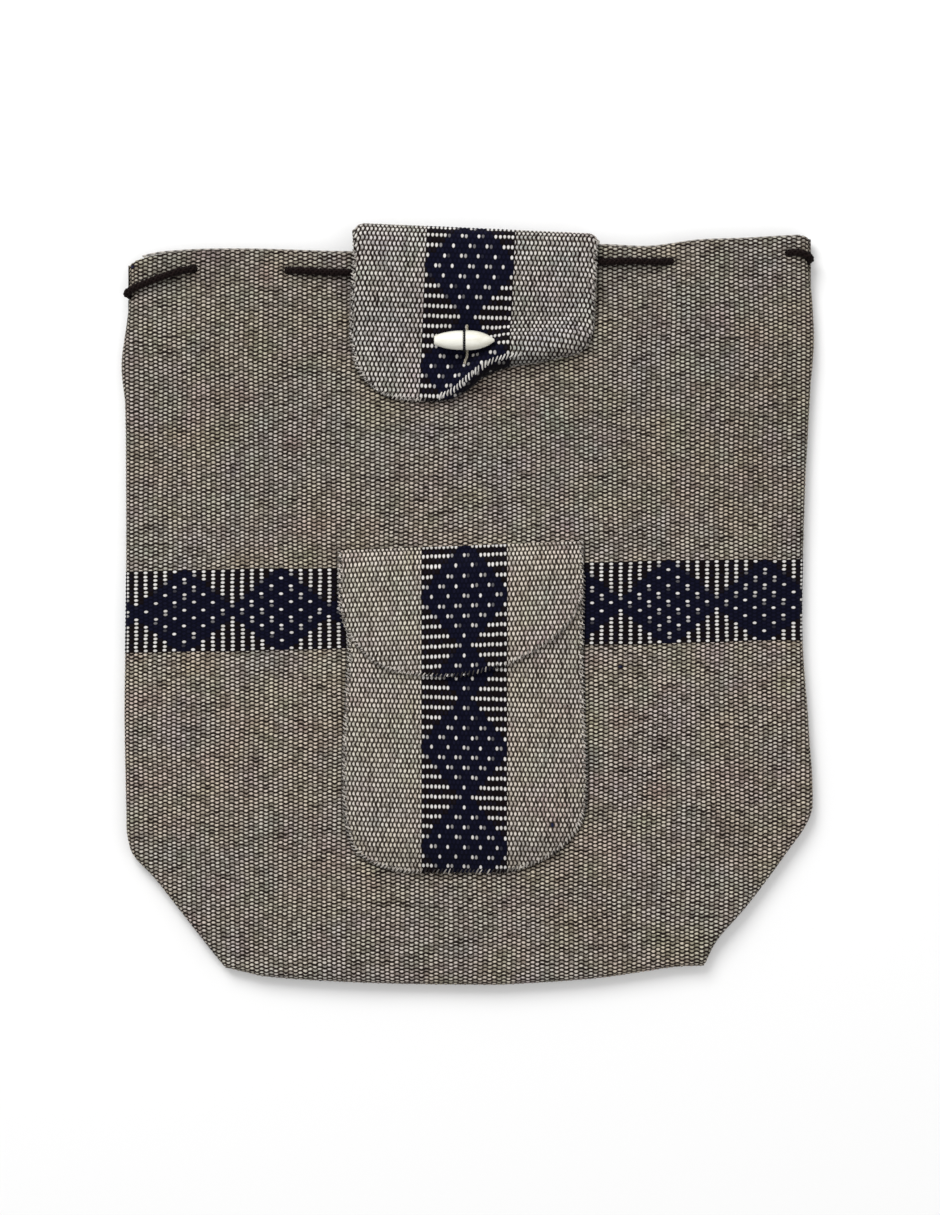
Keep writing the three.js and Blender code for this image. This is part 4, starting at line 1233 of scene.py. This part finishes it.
# %% Grid points between two counts
def body_grid(low_dot, high_dot, column_step=0.5):
    """Cloth lengths of the grid points between two dot counts, moved onto the edges where they pass them."""
    first = math.floor(-BODY_WIDTH / 2 / COLUMN) - 3
    column = np.arange(first, -first + 4, column_step) + (0.5 if column_step == 1 else 0)
    dot = np.arange(low_dot, high_dot + 0.25, 0.5)
    column, dot = np.meshgrid(column, dot)
    s = DIAMOND_AT + (column - 0.5) * COLUMN
    t = BAND_UP + (dot - 0.5) * DOT
    t = t + lean_of(t) * s
    across, up = bag_shares(s, t)
    edge = half_width(s, up) - SIDE_ROUND + SIDE_ROUND * math.pi / 2
    s = np.clip(s, -edge, edge)
    across, up = bag_shares(s, t)
    low = bottom_line(across) + SIDE_ROUND - SIDE_ROUND * math.pi / 2
    high = mouth_line(across) - MOUTH_ROUND + MOUTH_ROUND * math.pi + MOUTH_HEM
    return s, np.clip(t, low, high)


def swayed_front(s, t):
    free = edge_share(s, t)
    return front_face(s + yarn_sway(s, t, 1.0) * free, t + yarn_sway(t, s, 4.0) * free)


def edge_share(s, t):
    """0 at the cloth's edges, 1 inside, so that the sway leaves the outline alone."""
    across, up = bag_shares(s, t)
    inward = np.minimum((1 - np.abs(across)) * BODY_WIDTH / 2, np.minimum(t, BODY_HEIGHT - 4 - t))
    return np.clip(inward / 12, 0, 1)


# %% The flat size of a grid
def cut_size(s, t):
    """Flat size and area of a grid of cloth, in metres."""
    one = np.stack([s[1:, 1:] - s[:-1, :-1], t[1:, 1:] - t[:-1, :-1]], -1)
    two = np.stack([s[1:, :-1] - s[:-1, 1:], t[1:, :-1] - t[:-1, 1:]], -1)
    area = np.abs(one[..., 0] * two[..., 1] - one[..., 1] * two[..., 0]).sum() / 2
    size = np.ptp(s) * MM, np.ptp(t) * MM
    print(f"cut {size[0]:.3f} by {size[1]:.3f} m, {area * MM**2:.4f} square metres")
    return size, float(area * MM**2)


# %% Three pieces of the front
BAND_LOW = 0.5 - BAND_DOTS / 2
BAND_HIGH = 0.5 + BAND_DOTS / 2
LOWEST_DOT = BAND_LOW - math.ceil((BAND_UP + 12) / DOT)
HIGHEST_DOT = BAND_HIGH + math.ceil((BODY_HEIGHT - BAND_UP + MOUTH_WAVE + MOUTH_HEM + 8) / DOT)
for name, low_dot, high_dot in (
    ("front_cloth_below_band", LOWEST_DOT, BAND_LOW),
    ("front_band", BAND_LOW, BAND_HIGH),
    ("front_cloth_above_band", BAND_HIGH, HIGHEST_DOT),
):
    s, t = body_grid(low_dot, high_dot)
    skin = cloth_skin(name, swayed_front, s, t, body_count, body_cloth, ("bag_body",),
                      keep=make_way, shade=body_shade)
    size, area = cut_size(s, t)

# %% [markdown]
# ### The back
# The back is hidden, since the bag lies on it, but a viewer may turn the bag over. It is the same cloth,
# flat on the floor and round where the front is round. Half as many points across are enough for it.

# %% The back
def back_face(s, t):
    """The outer face of the back: flat on the floor, round where the front is."""
    front = front_face(s, t)
    across, up = bag_shares(s, t)
    straight = half_width(s, up) - SIDE_ROUND
    over = np.clip((np.abs(s) - straight) / SIDE_ROUND, 0, math.pi / 2 + 0.2)
    open_share = roll_bottom(t - bottom_line(across))[1]
    past = t - (mouth_line(across) - MOUTH_ROUND)
    turn = np.clip(past / MOUTH_ROUND, 0, math.pi)
    z = SIDE_ROUND * (1 - np.cos(over) * open_share) + MOUTH_ROUND * (1 - np.cos(turn)) * (past > 0)
    return np.stack([front[..., 0], front[..., 1], z], -1)


s, t = body_grid(LOWEST_DOT, HIGHEST_DOT, 1)
back = cloth_skin("back_cloth", back_face, s, t, body_count, body_cloth, ("bag_body",),
                  sink=RELIEF, flip=True, keep=make_way)
size, area = cut_size(s, t)

# %% [markdown]
# ### The inside
# Through the open mouth the inner faces show, as far as light gets in. They need no bumps, so their grid is
# coarse. They start under the mouth's turned hem.

# %% The inner faces
INNER_STEP = 4
INNER_BELOW_MOUTH = 26


def inner_cloth(name, place, side):
    wide = np.linspace(-1, 1, int(BODY_WIDTH / INNER_STEP))
    tall = np.linspace(0, 1, int(BODY_HEIGHT / INNER_STEP))
    across, up = np.meshgrid(wide, tall)
    low = bottom_line(across) + CLOTH
    t = low + (mouth_line(across) - INNER_BELOW_MOUTH - low) * up
    s = across * (half_width(across, t / BODY_HEIGHT) - SIDE_ROUND + SIDE_ROUND * math.pi / 2)
    points = place(s, t) - side * normals_of(place, s, t) * (CLOTH - 0.15)
    column, dot = body_count(s, t)
    bake = np.stack([(across + 1) / 2, up], -1).reshape(-1, 2)
    triangles = grid_triangles(0 * s, flip=side > 0)
    yarn = np.stack([column, dot, 0 * dot], -1).reshape(-1, 3)
    add_piece(name, points.reshape(-1, 3), triangles, body_cloth, yarn, bake[triangles],
              ("bag_body",))


inner_cloth("inside_of_front", front_face, 1)
inner_cloth("inside_of_back", back_face, -1)

# %% [markdown]
# ### The main flap's cloth
# The flap is woven finer than the body and used sideways, so its columns run across it. Its grid has a line
# exactly at the band's middle, and its lower edge is clipped to the cut. Under the rolled lip it gets
# painted shade.

# %% The flap's yarn count and grid
SMALL_DOT = 2.36
FLAP_COLUMN = 2.92
FLAP_BAND_MIDDLE = -3.0
FLAP_DOT = 2.44
FLAP_DIAMOND_BELOW = 26.5


def flap_count(s, t):
    return 0.5 + (t + FLAP_DIAMOND_BELOW) / FLAP_COLUMN, 0.5 - (s - FLAP_BAND_MIDDLE) / FLAP_DOT


def crest_share(u):
    """Where the rolled lip's sewn edge is, along each line down the flap."""
    return LIP_SHARE + 0.055 * smooth(u, 0.0, 0.4)


def steps_over(low, high, middle, step):
    """Grid places with one exactly at middle, from below low to above high."""
    first, last = math.floor((low - middle) / step), math.ceil((high - middle) / step)
    return middle + np.arange(first, last + 1) * step


s = steps_over(-FLAP_WIDTH / 2, FLAP_WIDTH / 2, FLAP_BAND_MIDDLE, FLAP_DOT / 2)
s = np.clip(s, -FLAP_WIDTH / 2, FLAP_WIDTH / 2)
_, length, top = flap_lengths(s)
t = steps_over((top - length[:, -1]).min(), top.max(), -FLAP_DIAMOND_BELOW, FLAP_COLUMN / 2)
s, t = np.meshgrid(s, t)
t = np.clip(t, (top - length[:, -1])[None], top[None])
lip_place = crest_share(s[0] / (FLAP_WIDTH / 2))
lip_length = np.array([np.interp(place, FLAP_SAMPLES, row) for place, row in zip(lip_place, length)])
# painted shade on the rolled lip's turned face, below its crest, weaker to the right
below_lip = (top - lip_length)[None] - t
lip_shade = smooth(below_lip, 1.2, 3.0) * flap_lift(s / (FLAP_WIDTH / 2))
lip_shade *= 0.35 + 0.65 * (1 - smooth(s / (FLAP_WIDTH / 2), 0.2, 0.5))
main_flap = cloth_sheet("main_flap_cloth", flap_face, s, t, flap_count, flap_cloth,
                        ("main_flap",), shade=lip_shade)

# %% [markdown]
# ### The pocket's cloth
# The pocket's weave is the flap's, with more pale yarn. Its rows lean a little, because it was sewn on
# slightly askew, as a hand-made pocket is.

# %% The pocket's grid
POCKET_COLUMN = 2.863
POCKET_DIAMOND_UP = 138.9
POCKET_LEAN = 0.03


def pocket_count(s, t):
    return 0.5 + (t + POCKET_LEAN * s - POCKET_DIAMOND_UP) / POCKET_COLUMN, 0.5 - s / SMALL_DOT


s = steps_over(-POCKET_WIDTH / 2, POCKET_WIDTH / 2, 0, SMALL_DOT / 2)
t = steps_over(POCKET_UP - 4, POCKET_UP + POCKET_HEIGHT + 4, POCKET_DIAMOND_UP, POCKET_COLUMN / 2)
s, t = np.meshgrid(s, t)
t = np.clip(t - POCKET_LEAN * s, POCKET_UP + pocket_bottom(s), POCKET_UP + POCKET_HEIGHT)
edge = pocket_half(s, (t - POCKET_UP) / POCKET_HEIGHT)
s = np.clip(s, -edge, edge)
pocket = cloth_sheet("pocket_cloth_piece", pocket_face, s, t, pocket_count, pocket_cloth,
                     ("pocket",))

# %% The pocket flap's grid
POCKET_FLAP_DIAMOND_UP = 226.5
POCKET_FLAP_BAND_MIDDLE = 2.0


def pocket_flap_count(s, t):
    column = 0.5 + (t - POCKET_FLAP_LEAN * s - POCKET_FLAP_DIAMOND_UP) / POCKET_COLUMN
    return column, 0.5 - (s - POCKET_FLAP_BAND_MIDDLE) / SMALL_DOT


half = POCKET_FLAP_WIDTH / 2
s = np.clip(steps_over(-half, half, POCKET_FLAP_BAND_MIDDLE, SMALL_DOT / 2), -half, half)
t = steps_over(POCKET_FLAP_ROOT - POCKET_FLAP_DROP - 6, POCKET_FLAP_ROOT + 6, POCKET_FLAP_DIAMOND_UP,
               POCKET_COLUMN / 2)
s, t = np.meshgrid(s, t)
high = POCKET_FLAP_ROOT + s * POCKET_FLAP_LEAN
t = np.clip(t + s * POCKET_FLAP_LEAN, high - POCKET_FLAP_DROP * pocket_flap_drop(s / half), high)
pocket_flap = cloth_sheet(
    "pocket_flap_cloth", pocket_flap_face, s, t, pocket_flap_count, pocket_cloth,
    ("pocket_flap",),
)

# %% [markdown]
# ## Overcast edges
# Each cut edge is overcast: a yarn goes round and round it in slanted stitches, so that it can't fray. One
# stitch is drawn once, as a short bent tube in the edge's own directions, and set at equal steps along the
# edge. Instances would be lighter, but here each stitch gets its own slant and size.

# %% A bent tube, and a stamp that sets copies of it
def tube_ring(line, radius, sides, start=0.0):
    """Points and triangles of a tube along a line of points, with rounded ends."""
    ahead = np.gradient(line, axis=0)
    ahead /= np.linalg.norm(ahead, axis=1, keepdims=True)
    across = np.cross(ahead, np.array([0.13, 0.21, 0.97]))
    across /= np.linalg.norm(across, axis=1, keepdims=True)
    up = np.cross(across, ahead)
    angle = start + 2 * math.pi * np.arange(sides) / sides
    radius = np.broadcast_to(radius, len(line))[:, None, None]
    ring = across[:, None] * np.cos(angle)[:, None] + up[:, None] * np.sin(angle)[:, None]
    points = (line[:, None] + ring * radius).reshape(-1, 3)
    a = np.arange(len(line) - 1)[:, None] * sides + np.arange(sides)[None]
    b = np.arange(len(line) - 1)[:, None] * sides + (np.arange(sides)[None] + 1) % sides
    a, b = a.ravel(), b.ravel()
    walls = np.concatenate([np.stack([a, b, b + sides], -1), np.stack([a, b + sides, a + sides], -1)])
    fan = np.arange(1, sides - 1)
    first = np.stack([0 * fan, fan + 1, fan], -1)
    last = (len(line) - 1) * sides + np.stack([0 * fan, fan, fan + 1], -1)
    return points, np.concatenate([walls, first, last])


# %% Directions along an edge
def edge_frames(edge, inner, every):
    """Places at equal steps along an edge, with the directions inward, up and along."""
    steps = np.linalg.norm(np.diff(edge, axis=0), axis=1)
    length = np.concatenate([[0], np.cumsum(steps)])
    at = np.arange(every / 2, length[-1], every)
    spot = np.stack([np.interp(at, length, edge[:, k]) for k in range(3)], -1)
    inside = np.stack([np.interp(at, length, inner[:, k]) for k in range(3)], -1)
    along = np.gradient(spot, axis=0)
    along /= np.linalg.norm(along, axis=1, keepdims=True)
    inward = inside - spot
    inward -= along * (inward * along).sum(1, keepdims=True)
    inward /= np.linalg.norm(inward, axis=1, keepdims=True)
    up = np.cross(inward, along)
    up *= np.where(up[len(up) // 2, 2] < 0, -1, 1)
    return spot, np.stack([inward, up, along], 1)


# %% One stitch, set many times
def stitched_edge(name, edge, inner, every, thick, stops, material, slant=1.0, seed=1, dark=None):
    """Stitches over an edge. stops: places (inward, up, along) in mm. dark: where the dark band is."""
    rng = np.random.default_rng(seed)
    spot, axes = edge_frames(edge, inner, every)
    path = closed_curve(np.array(stops, float), 3)[:3 * (len(stops) - 1) + 1]
    taper = thick / 2 * (0.72 + 0.28 * np.sin(math.pi * np.linspace(0, 1, len(path))))
    points, triangles = tube_ring(path, taper, 6)
    all_points, all_triangles, tones = [], [], []
    for i in range(len(spot)):
        in_band = dark is not None and abs(spot[i, 0] - dark) < BAND_DOTS / 2 * SMALL_DOT
        tones.append(rng.uniform(0, 0.12) if in_band and rng.random() < 0.75 else rng.uniform(0.2, 1))
        grow = rng.uniform(0.85, 1.2, 3)
        place = points * grow + np.array([0, 0, slant]) * (points[:, :1] * rng.uniform(0.25, 0.5))
        place[:, 2] += rng.uniform(-0.25, 0.25)
        all_points.append(spot[i] + place @ axes[i])
        all_triangles.append(triangles + i * len(points))
    all_points, all_triangles = np.concatenate(all_points), np.concatenate(all_triangles)
    yarn = np.repeat(np.stack([tones, tones, tones], -1), len(points), axis=0)
    return add_piece(name, all_points, all_triangles, material, yarn)


# %% [markdown]
# ### Sewing yarns
# A sewing yarn has no weave, only fine fibres and a colour that changes from stitch to stitch. A painted
# texture would need a map for each tube, while noise in space needs none. Stitches carry their own tone, so
# that those on the dark band can be dark.

# %% Yarns of the stitches and the toggle
def plain_yarn(name, low, high, strands=2600.0, sheen=0.05, toned=False):
    """Yarn with fine fibres, whose brightness changes from stitch to stitch."""
    material, tree, shader = new_material(name, roughness=0.9, sheen=sheen, specular=0.06)
    where = tree.nodes.new("ShaderNodeNewGeometry")
    fibre = cloud(tree, where.outputs["Position"], strands, 3.0, 0.65)
    own = where.outputs["Random Per Island"]
    if toned:
        tone = tree.nodes.new("ShaderNodeAttribute")
        tone.attribute_name = "yarn"
        own = tone.outputs["Fac"]
    colour = blend(tree, own, low, high)
    colour = blend(tree, 0.6, colour, blend(tree, fibre, (0.35, 0.34, 0.33), (1.0, 1.0, 1.0)), "MULTIPLY")
    tree.links.new(colour, shader.inputs["Base Color"])
    add_bump(tree, shader, fibre, 0.25 * MM, 0.7)
    return material


edge_yarn = plain_yarn("edge_yarn", (0.012, 0.010, 0.012), (0.62, 0.58, 0.53), toned=True)
pale_edge_yarn = plain_yarn("pale_edge_yarn", (0.5, 0.48, 0.45), (0.82, 0.80, 0.76))


# %% [markdown]
# ### Two kinds of stitches
# The pocket is sewn down, so its stitches go over the edge and into the body's cloth. The flaps hang
# free, so their stitches wrap the edge and come back on the other side.

# %% Stitches of the pocket, its flap and the main flap
HALF = CLOTH / 2
SEWN = ((1.9, HALF, 0.5), (0.9, HALF + 0.3, 0.2), (-0.35, HALF - 0.2, 0), (-0.7, -HALF - 0.9, -0.1))
WRAPPED = (
    (1.7, HALF, 0.4), (0.8, HALF + 0.25, 0.2), (-0.45, 0, 0), (0.8, -HALF - 0.3, -0.2), (1.8, -HALF, -0.3),
)
stitched_edge("pocket_stitches", pocket_edge, pocket_inner, 2.3, 0.95, SEWN, edge_yarn, seed=5,
              dark=POCKET_OFFSET)

stitched_edge("pocket_flap_stitches", pocket_flap_edge, pocket_flap_inner, 2.4, 0.9, WRAPPED, edge_yarn,
              seed=6, dark=POCKET_FLAP_BAND_MIDDLE + POCKET_FLAP_OFFSET)

stitched_edge("main_flap_stitches", main_flap_edge, main_flap_inner, 2.3, 0.95, WRAPPED, edge_yarn,
              seed=7, dark=FLAP_OFFSET + FLAP_BAND_MIDDLE - 4)

# %% [markdown]
# ### The selvage
# Along the mouth the weaver's last yarn runs in one line, the selvage. It is a plain thin tube on the edge,
# once for the front and once for the back.

# %% The mouth's selvage yarn
mouth_x = np.linspace(-0.96, 0.97, 220) * half_width(np.linspace(-0.96, 0.97, 220), 1.0)
mouth_y = mouth_line(mouth_x / (BODY_WIDTH / 2))
for name, inside, height in (("front_selvage", 0.3, 0), ("back_selvage", 0.4, CLOTH / 2)):
    if height:
        z = np.full(len(mouth_x), height)
    else:
        z = waved_front(mouth_x, mouth_y - 2) - CLOTH / 2
    line = np.stack([mouth_x, mouth_y - inside, z], -1)
    points, triangles = tube_ring(line, 0.62, 7)
    tone = np.repeat(0.55 + 0.45 * np.sin(np.arange(len(line)) * 2.1), 7)
    add_piece(name, points, triangles, edge_yarn, np.stack([tone, tone, tone], -1))

# %% [markdown]
# ### The rolled lip's stitches
# The flap's lower right edge has rolled up, so its overcast edge lies on top and shows as a pale rope. Its
# stitches are the same stamp with another path, set along the crest of the roll.

# %% The pale stitches on the rolled lip's crest
lip_across = np.linspace(-0.24, 0.42, 121)
crest = flap_line(lip_across, crest_share(lip_across))
crest_inner = flap_line(lip_across, crest_share(lip_across) - 0.01)
CREST = ((0.9, HALF - 0.1, 0.5), (0.1, HALF + 0.35, 0.2), (-1.0, HALF + 0.1, -0.3), (-1.9, HALF - 1.0, -0.6))
stitched_edge("lip_stitches", crest, crest_inner, 2.3, 1.15, CREST, pale_edge_yarn, seed=8)

# %% [markdown]
# ## The braided drawstring
# Eight strands run round the cord, four each way, and pass over and under each other. Each strand is a thin
# tube on a wavy screw line about the route. A dark core fills the middle, as it does in a real braid.

# %% The braid
STRAND = 1.3
BRAID_TURN = 11.0
BRAID_SAMPLES = 12
BRAID_RADIUS = CORD / 2 - STRAND / 2 - 0.12


def even_loop(line, count):
    closed = np.concatenate([line, line[:1]])
    length = np.concatenate([[0], np.cumsum(np.linalg.norm(np.diff(closed, axis=0), axis=1))])
    at = np.arange(count) * length[-1] / count
    return np.stack([np.interp(at, length, closed[:, k]) for k in range(3)], -1)


turns = round(cord_length / BRAID_TURN)
loop = even_loop(cord_line, turns * BRAID_SAMPLES)
ahead = np.roll(loop, -1, 0) - np.roll(loop, 1, 0)
ahead /= np.linalg.norm(ahead, axis=1, keepdims=True)
upright = np.tile([0.0, 0.0, 1.0], (len(loop), 1))
beside = np.cross(ahead, upright)
beside /= np.linalg.norm(beside, axis=1, keepdims=True)
upright = np.cross(beside, ahead)


# %% A tube that closes on itself
def closed_tube(line, radius, sides, across, above):
    angle = 2 * math.pi * np.arange(sides) / sides
    ring = across[:, None] * np.cos(angle)[:, None] + above[:, None] * np.sin(angle)[:, None]
    points = (line[:, None] + radius * ring).reshape(-1, 3)
    row = np.arange(len(line))[:, None] * sides
    next_row = (np.arange(len(line))[:, None] + 1) % len(line) * sides
    now, later = np.arange(sides)[None], (np.arange(sides)[None] + 1) % sides
    a, b = (row + now).ravel(), (row + later).ravel()
    c, d = (next_row + later).ravel(), (next_row + now).ravel()
    return points, np.concatenate([np.stack([a, b, c], -1), np.stack([a, c, d], -1)])


# %% Eight strands and a core
braid_points, braid_triangles, made = [], [], 0
for strand in range(8):
    way = 1 if strand < 4 else -1
    turned = way * 2 * math.pi * np.arange(len(loop)) / BRAID_SAMPLES + strand * math.pi / 2
    weave = np.cos(4 * np.arange(len(loop)) * math.pi / BRAID_SAMPLES * 2 + (math.pi if way < 0 else 0))
    out = beside * np.cos(turned)[:, None] + upright * np.sin(turned)[:, None]
    line = loop + out * (BRAID_RADIUS + 0.22 * weave[:, None])
    points, triangles = closed_tube(line, STRAND / 2, 5, out, np.cross(ahead, out))
    braid_points.append(points)
    braid_triangles.append(triangles[:, ::-1] + made)
    made += len(points)
points, triangles = closed_tube(loop, BRAID_RADIUS, 6, beside, upright)
braid_points.append(points)
braid_triangles.append(triangles[:, ::-1] + made)
cord_yarn = plain_yarn("cord_yarn", (0.006, 0.003, 0.003), (0.017, 0.009, 0.008), sheen=0.04)
drawstring = add_piece("braided_drawstring", np.concatenate(braid_points), np.concatenate(braid_triangles),
                       cord_yarn, replaces=("drawstring",))

# %% [markdown]
# ## The toggle
# A bead turned from bone: one flat end, one pointed end, and a groove that keeps its thread in place. The
# profile is turned about the long axis. Bone lets some light in, which this material leaves out.

# %% The toggle and its bone
TOGGLE_PROFILE = curve(
    (0.0, 0.45), (0.08, 0.64), (0.2, 0.84), (0.35, 0.97), (0.5, 1.0), (0.63, 1.0), (0.75, 0.88),
    (0.87, 0.62), (0.95, 0.34), (1.0, 0.12),
)


def over_flap(x, y, distance):
    lean = math.sin(math.radians(FLAP_TILT))
    shift = (BODY_HEIGHT + FLAP_RISE - y) * lean
    across = np.array([[(x + shift - FLAP_OFFSET) / (FLAP_WIDTH / 2)]])
    front = flap_line(across, FLAP_SAMPLES[None])[0][FLAP_SAMPLES > FOLD_SHARE][::-1]

    def height(at):
        return np.interp(at, front[:, 1], front[:, 2])

    slope = height(y + 0.5) - height(y - 0.5)
    return float(height(y) + (CLOTH / 2 + distance) * math.hypot(1, slope))


toggle_z = over_flap(TOGGLE_OFFSET, toggle_y, LAY_GAP + SEAT_GAP + LOOP_YARN) + TOGGLE_RADIUS
groove_x = TOGGLE_OFFSET - TOGGLE_LENGTH / 2 + GROOVE_AT
share = np.linspace(0, 1, 121)
share = np.concatenate([[0, 0, 0], share, [1, 1]])
radius = TOGGLE_RADIUS * TOGGLE_PROFILE(share)
from_groove = np.abs(share * TOGGLE_LENGTH - GROOVE_AT)
radius = radius - GROOVE_DEPTH * (1 - smooth(from_groove, GROOVE_WIDTH / 3, GROOVE_WIDTH / 2))
radius[:3] *= (0.01, 0.5, 0.9)
radius[-2:] *= (0.6, 0.02)
x_along = TOGGLE_OFFSET - TOGGLE_LENGTH / 2 + share * TOGGLE_LENGTH
x_along[3] += 0.3
axis_line = np.stack([x_along, np.full(len(share), float(toggle_y)), np.full(len(share), toggle_z)], -1)
angle = 2 * math.pi * np.arange(48) / 48
ring = np.stack([0 * angle, np.cos(angle), np.sin(angle)], -1)
points = axis_line[:, None] + radius[:, None, None] * ring[None]
a = (np.arange(len(share) - 1)[:, None] * 48 + np.arange(48)[None]).ravel()
b = (np.arange(len(share) - 1)[:, None] * 48 + (np.arange(48)[None] + 1) % 48).ravel()
triangles = np.concatenate([np.stack([a, b + 48, b], -1), np.stack([a, a + 48, b + 48], -1)])

# %% [markdown]
# ### Bone
# Polished bone is nearly white, with a faint grain along its length and a few darker pores. A thin coat
# gives the soft gloss of a handled piece.

# %% The bone
bone, tree, shader = new_material("toggle_bone", roughness=0.32, specular=0.45)
shader.inputs["Coat Weight"].default_value = 0.15
shader.inputs["Coat Roughness"].default_value = 0.2
where = tree.nodes.new("ShaderNodeTexCoord").outputs["Object"]
stretched = tree.nodes.new("ShaderNodeMapping")
stretched.inputs["Scale"].default_value = (60, 400, 400)
tree.links.new(where, stretched.inputs["Vector"])
grain = cloud(tree, stretched.outputs[0], 1.0, 4.0, 0.6)
spots = cloud(tree, where, 900.0, 2.0, 0.5)
colour = blend(tree, fade(tree, grain, 0.4, 0.7), (0.80, 0.79, 0.71), (0.70, 0.68, 0.58))
colour = blend(tree, fade(tree, spots, 0.66, 0.74, 0.0, 0.4), colour, (0.45, 0.40, 0.30))
tree.links.new(colour, shader.inputs["Base Color"])
tree.links.new(calc(tree, "MULTIPLY_ADD", grain, 0.25, 0.2), shader.inputs["Roughness"])
add_bump(tree, shader, grain, 0.08 * MM, 0.4)
add_piece("bone_toggle", points.reshape(-1, 3), triangles, bone, replaces=("toggle",))


# %% [markdown]
# ## The toggle's threads
# A dark thread lies in the groove and dives into the flap on both sides. Under it an undyed yarn runs down
# the flap and curls at its end. Both are twisted yarns: thin plies that turn round each other. A Screw
# modifier makes straight ones, but these follow a bent line.

# %% The two threads of the toggle
def twisted_yarn(name, line, thick, turn, plies, material, replaces):
    """A yarn of thin plies that turn round each other along a line."""
    steps = np.linalg.norm(np.diff(line, axis=0), axis=1)
    length = np.concatenate([[0], np.cumsum(steps)])
    at = np.linspace(0, length[-1], max(12, int(length[-1] / 0.28)))
    line = np.stack([np.interp(at, length, line[:, k]) for k in range(3)], -1)
    ahead = np.gradient(line, axis=0)
    ahead /= np.linalg.norm(ahead, axis=1, keepdims=True)
    across = np.cross(ahead, np.array([0.91, 0.05, 0.12]))
    across /= np.linalg.norm(across, axis=1, keepdims=True)
    above = np.cross(across, ahead)
    every_point, every_triangle, made = [], [], 0
    for ply in range(plies):
        turned = 2 * math.pi * (at / turn + ply / plies)
        out = across * np.cos(turned)[:, None] + above * np.sin(turned)[:, None]
        points, triangles = tube_ring(line + out * thick / 4, np.full(len(line), thick / 4 * 1.08), 8)
        every_point.append(points)
        every_triangle.append(triangles + made)
        made += len(points)
    return add_piece(name, np.concatenate(every_point), np.concatenate(every_triangle), material,
                     replaces=replaces)


bow = TOGGLE_RADIUS - GROOVE_DEPTH + SEAT_GAP + THREAD / 2
angle = np.radians(np.linspace(-THREAD_DIP, 180 + THREAD_DIP, 40))
ring = np.stack([np.full(40, groove_x), toggle_y + bow * np.cos(angle), toggle_z + bow * np.sin(angle)], -1)
feet = [np.array([[groove_x, toggle_y + side * bow, over_flap(groove_x, toggle_y + side * bow, SEAT_GAP)]])
        for side in (1, -1)]
line = np.concatenate([feet[0], ring[2:-2], feet[1]])
black_thread = plain_yarn("black_thread", (0.004, 0.004, 0.007), (0.012, 0.012, 0.018), sheen=0.05)
twisted_yarn("toggle_thread_twist", line, THREAD, 3.0, 2, black_thread, ("toggle_thread",))

loop_x = groove_x + LOOP_YARN
loop_y = np.linspace(toggle_y + LOOP_ABOVE, toggle_y - LOOP_BELOW - LOOP_END, 36)
curl = 1.6 * smooth(toggle_y - loop_y, 5, 15) * np.sin((toggle_y - loop_y) / 2.6)
line = np.array([(x, y, over_flap(x, y, LAY_GAP + LOOP_YARN / 2)) for x, y in zip(loop_x + curl, loop_y)])
ecru_yarn = plain_yarn("ecru_yarn", (0.42, 0.38, 0.30), (0.58, 0.53, 0.43))
twisted_yarn("toggle_loop_twist", line, LOOP_YARN, 3.6, 2, ecru_yarn, ("toggle_loop",))

# %% [markdown]
# ### Floor, camera and light
# The bag is seen from straight above on a white floor. A long lens keeps its sides upright. A large soft
# light from the mouth's side shows the folds without hard shadows, and a weaker one and the pale room
# keep the dark band readable.

# %% Floor, camera and light
CAMERA_LENS = 85
CAMERA_FILM = 36
PHOTO_HEIGHT = 1215
PHOTO_WIDTH = 940
MM_PER_PIXEL = 0.58
PHOTO_MIDDLE = (467.8, 604.9)
SEEN_HEIGHT = PHOTO_HEIGHT * MM_PER_PIXEL
FACE_UP = 13

floor_material, tree, shader = new_material("pale_floor", 0.95)
shader.inputs["Base Color"].default_value = (0.86, 0.86, 0.86, 1)
bpy.ops.mesh.primitive_plane_add(size=12, location=(0, 0, -0.0005))
floor = bpy.context.object
floor.name = "floor"
floor.data.materials.append(floor_material)

# %% The camera
camera_data = bpy.data.cameras.new("camera")
camera_data.lens = CAMERA_LENS
camera_data.sensor_fit = "VERTICAL"
camera_data.sensor_height = CAMERA_FILM
camera_data.clip_end = 50
camera = bpy.data.objects.new("camera", camera_data)
camera.location = (
    (PHOTO_WIDTH / 2 - PHOTO_MIDDLE[0]) * MM_PER_PIXEL * MM,
    (PHOTO_MIDDLE[1] - PHOTO_HEIGHT / 2) * MM_PER_PIXEL * MM,
    (FACE_UP + SEEN_HEIGHT * CAMERA_LENS / CAMERA_FILM) * MM,
)
bpy.context.scene.collection.objects.link(camera)
bpy.context.scene.camera = camera
print(f"the camera is {camera.location.z:.2f} m above the floor")


# %% The lights
def soft_light(name, size, power, place):
    data = bpy.data.lights.new(name, "AREA")
    data.size = size
    data.energy = power
    light = bpy.data.objects.new(name, data)
    light.location = place
    light.rotation_euler = (-Vector(place)).to_track_quat("-Z", "Y").to_euler()
    bpy.context.scene.collection.objects.link(light)


soft_light("key_light", 1.2, 44, (-0.8, 1.5, 1.6))
soft_light("fill_light", 2.2, 12, (1.3, -0.6, 1.8))
world = bpy.data.worlds.new("pale_room")
world.use_nodes = True
world.node_tree.nodes["Background"].inputs["Color"].default_value = (1, 1, 1, 1)
world.node_tree.nodes["Background"].inputs["Strength"].default_value = 0.6
bpy.context.scene.world = world
bpy.context.scene.view_settings.view_transform = "Standard"

# %% [markdown]
# ## Triangles, and the end
# The last line prints how many triangles all the pieces have together.

# %% Triangles in all, and the end
print("triangles:", sum(pieces.values()))
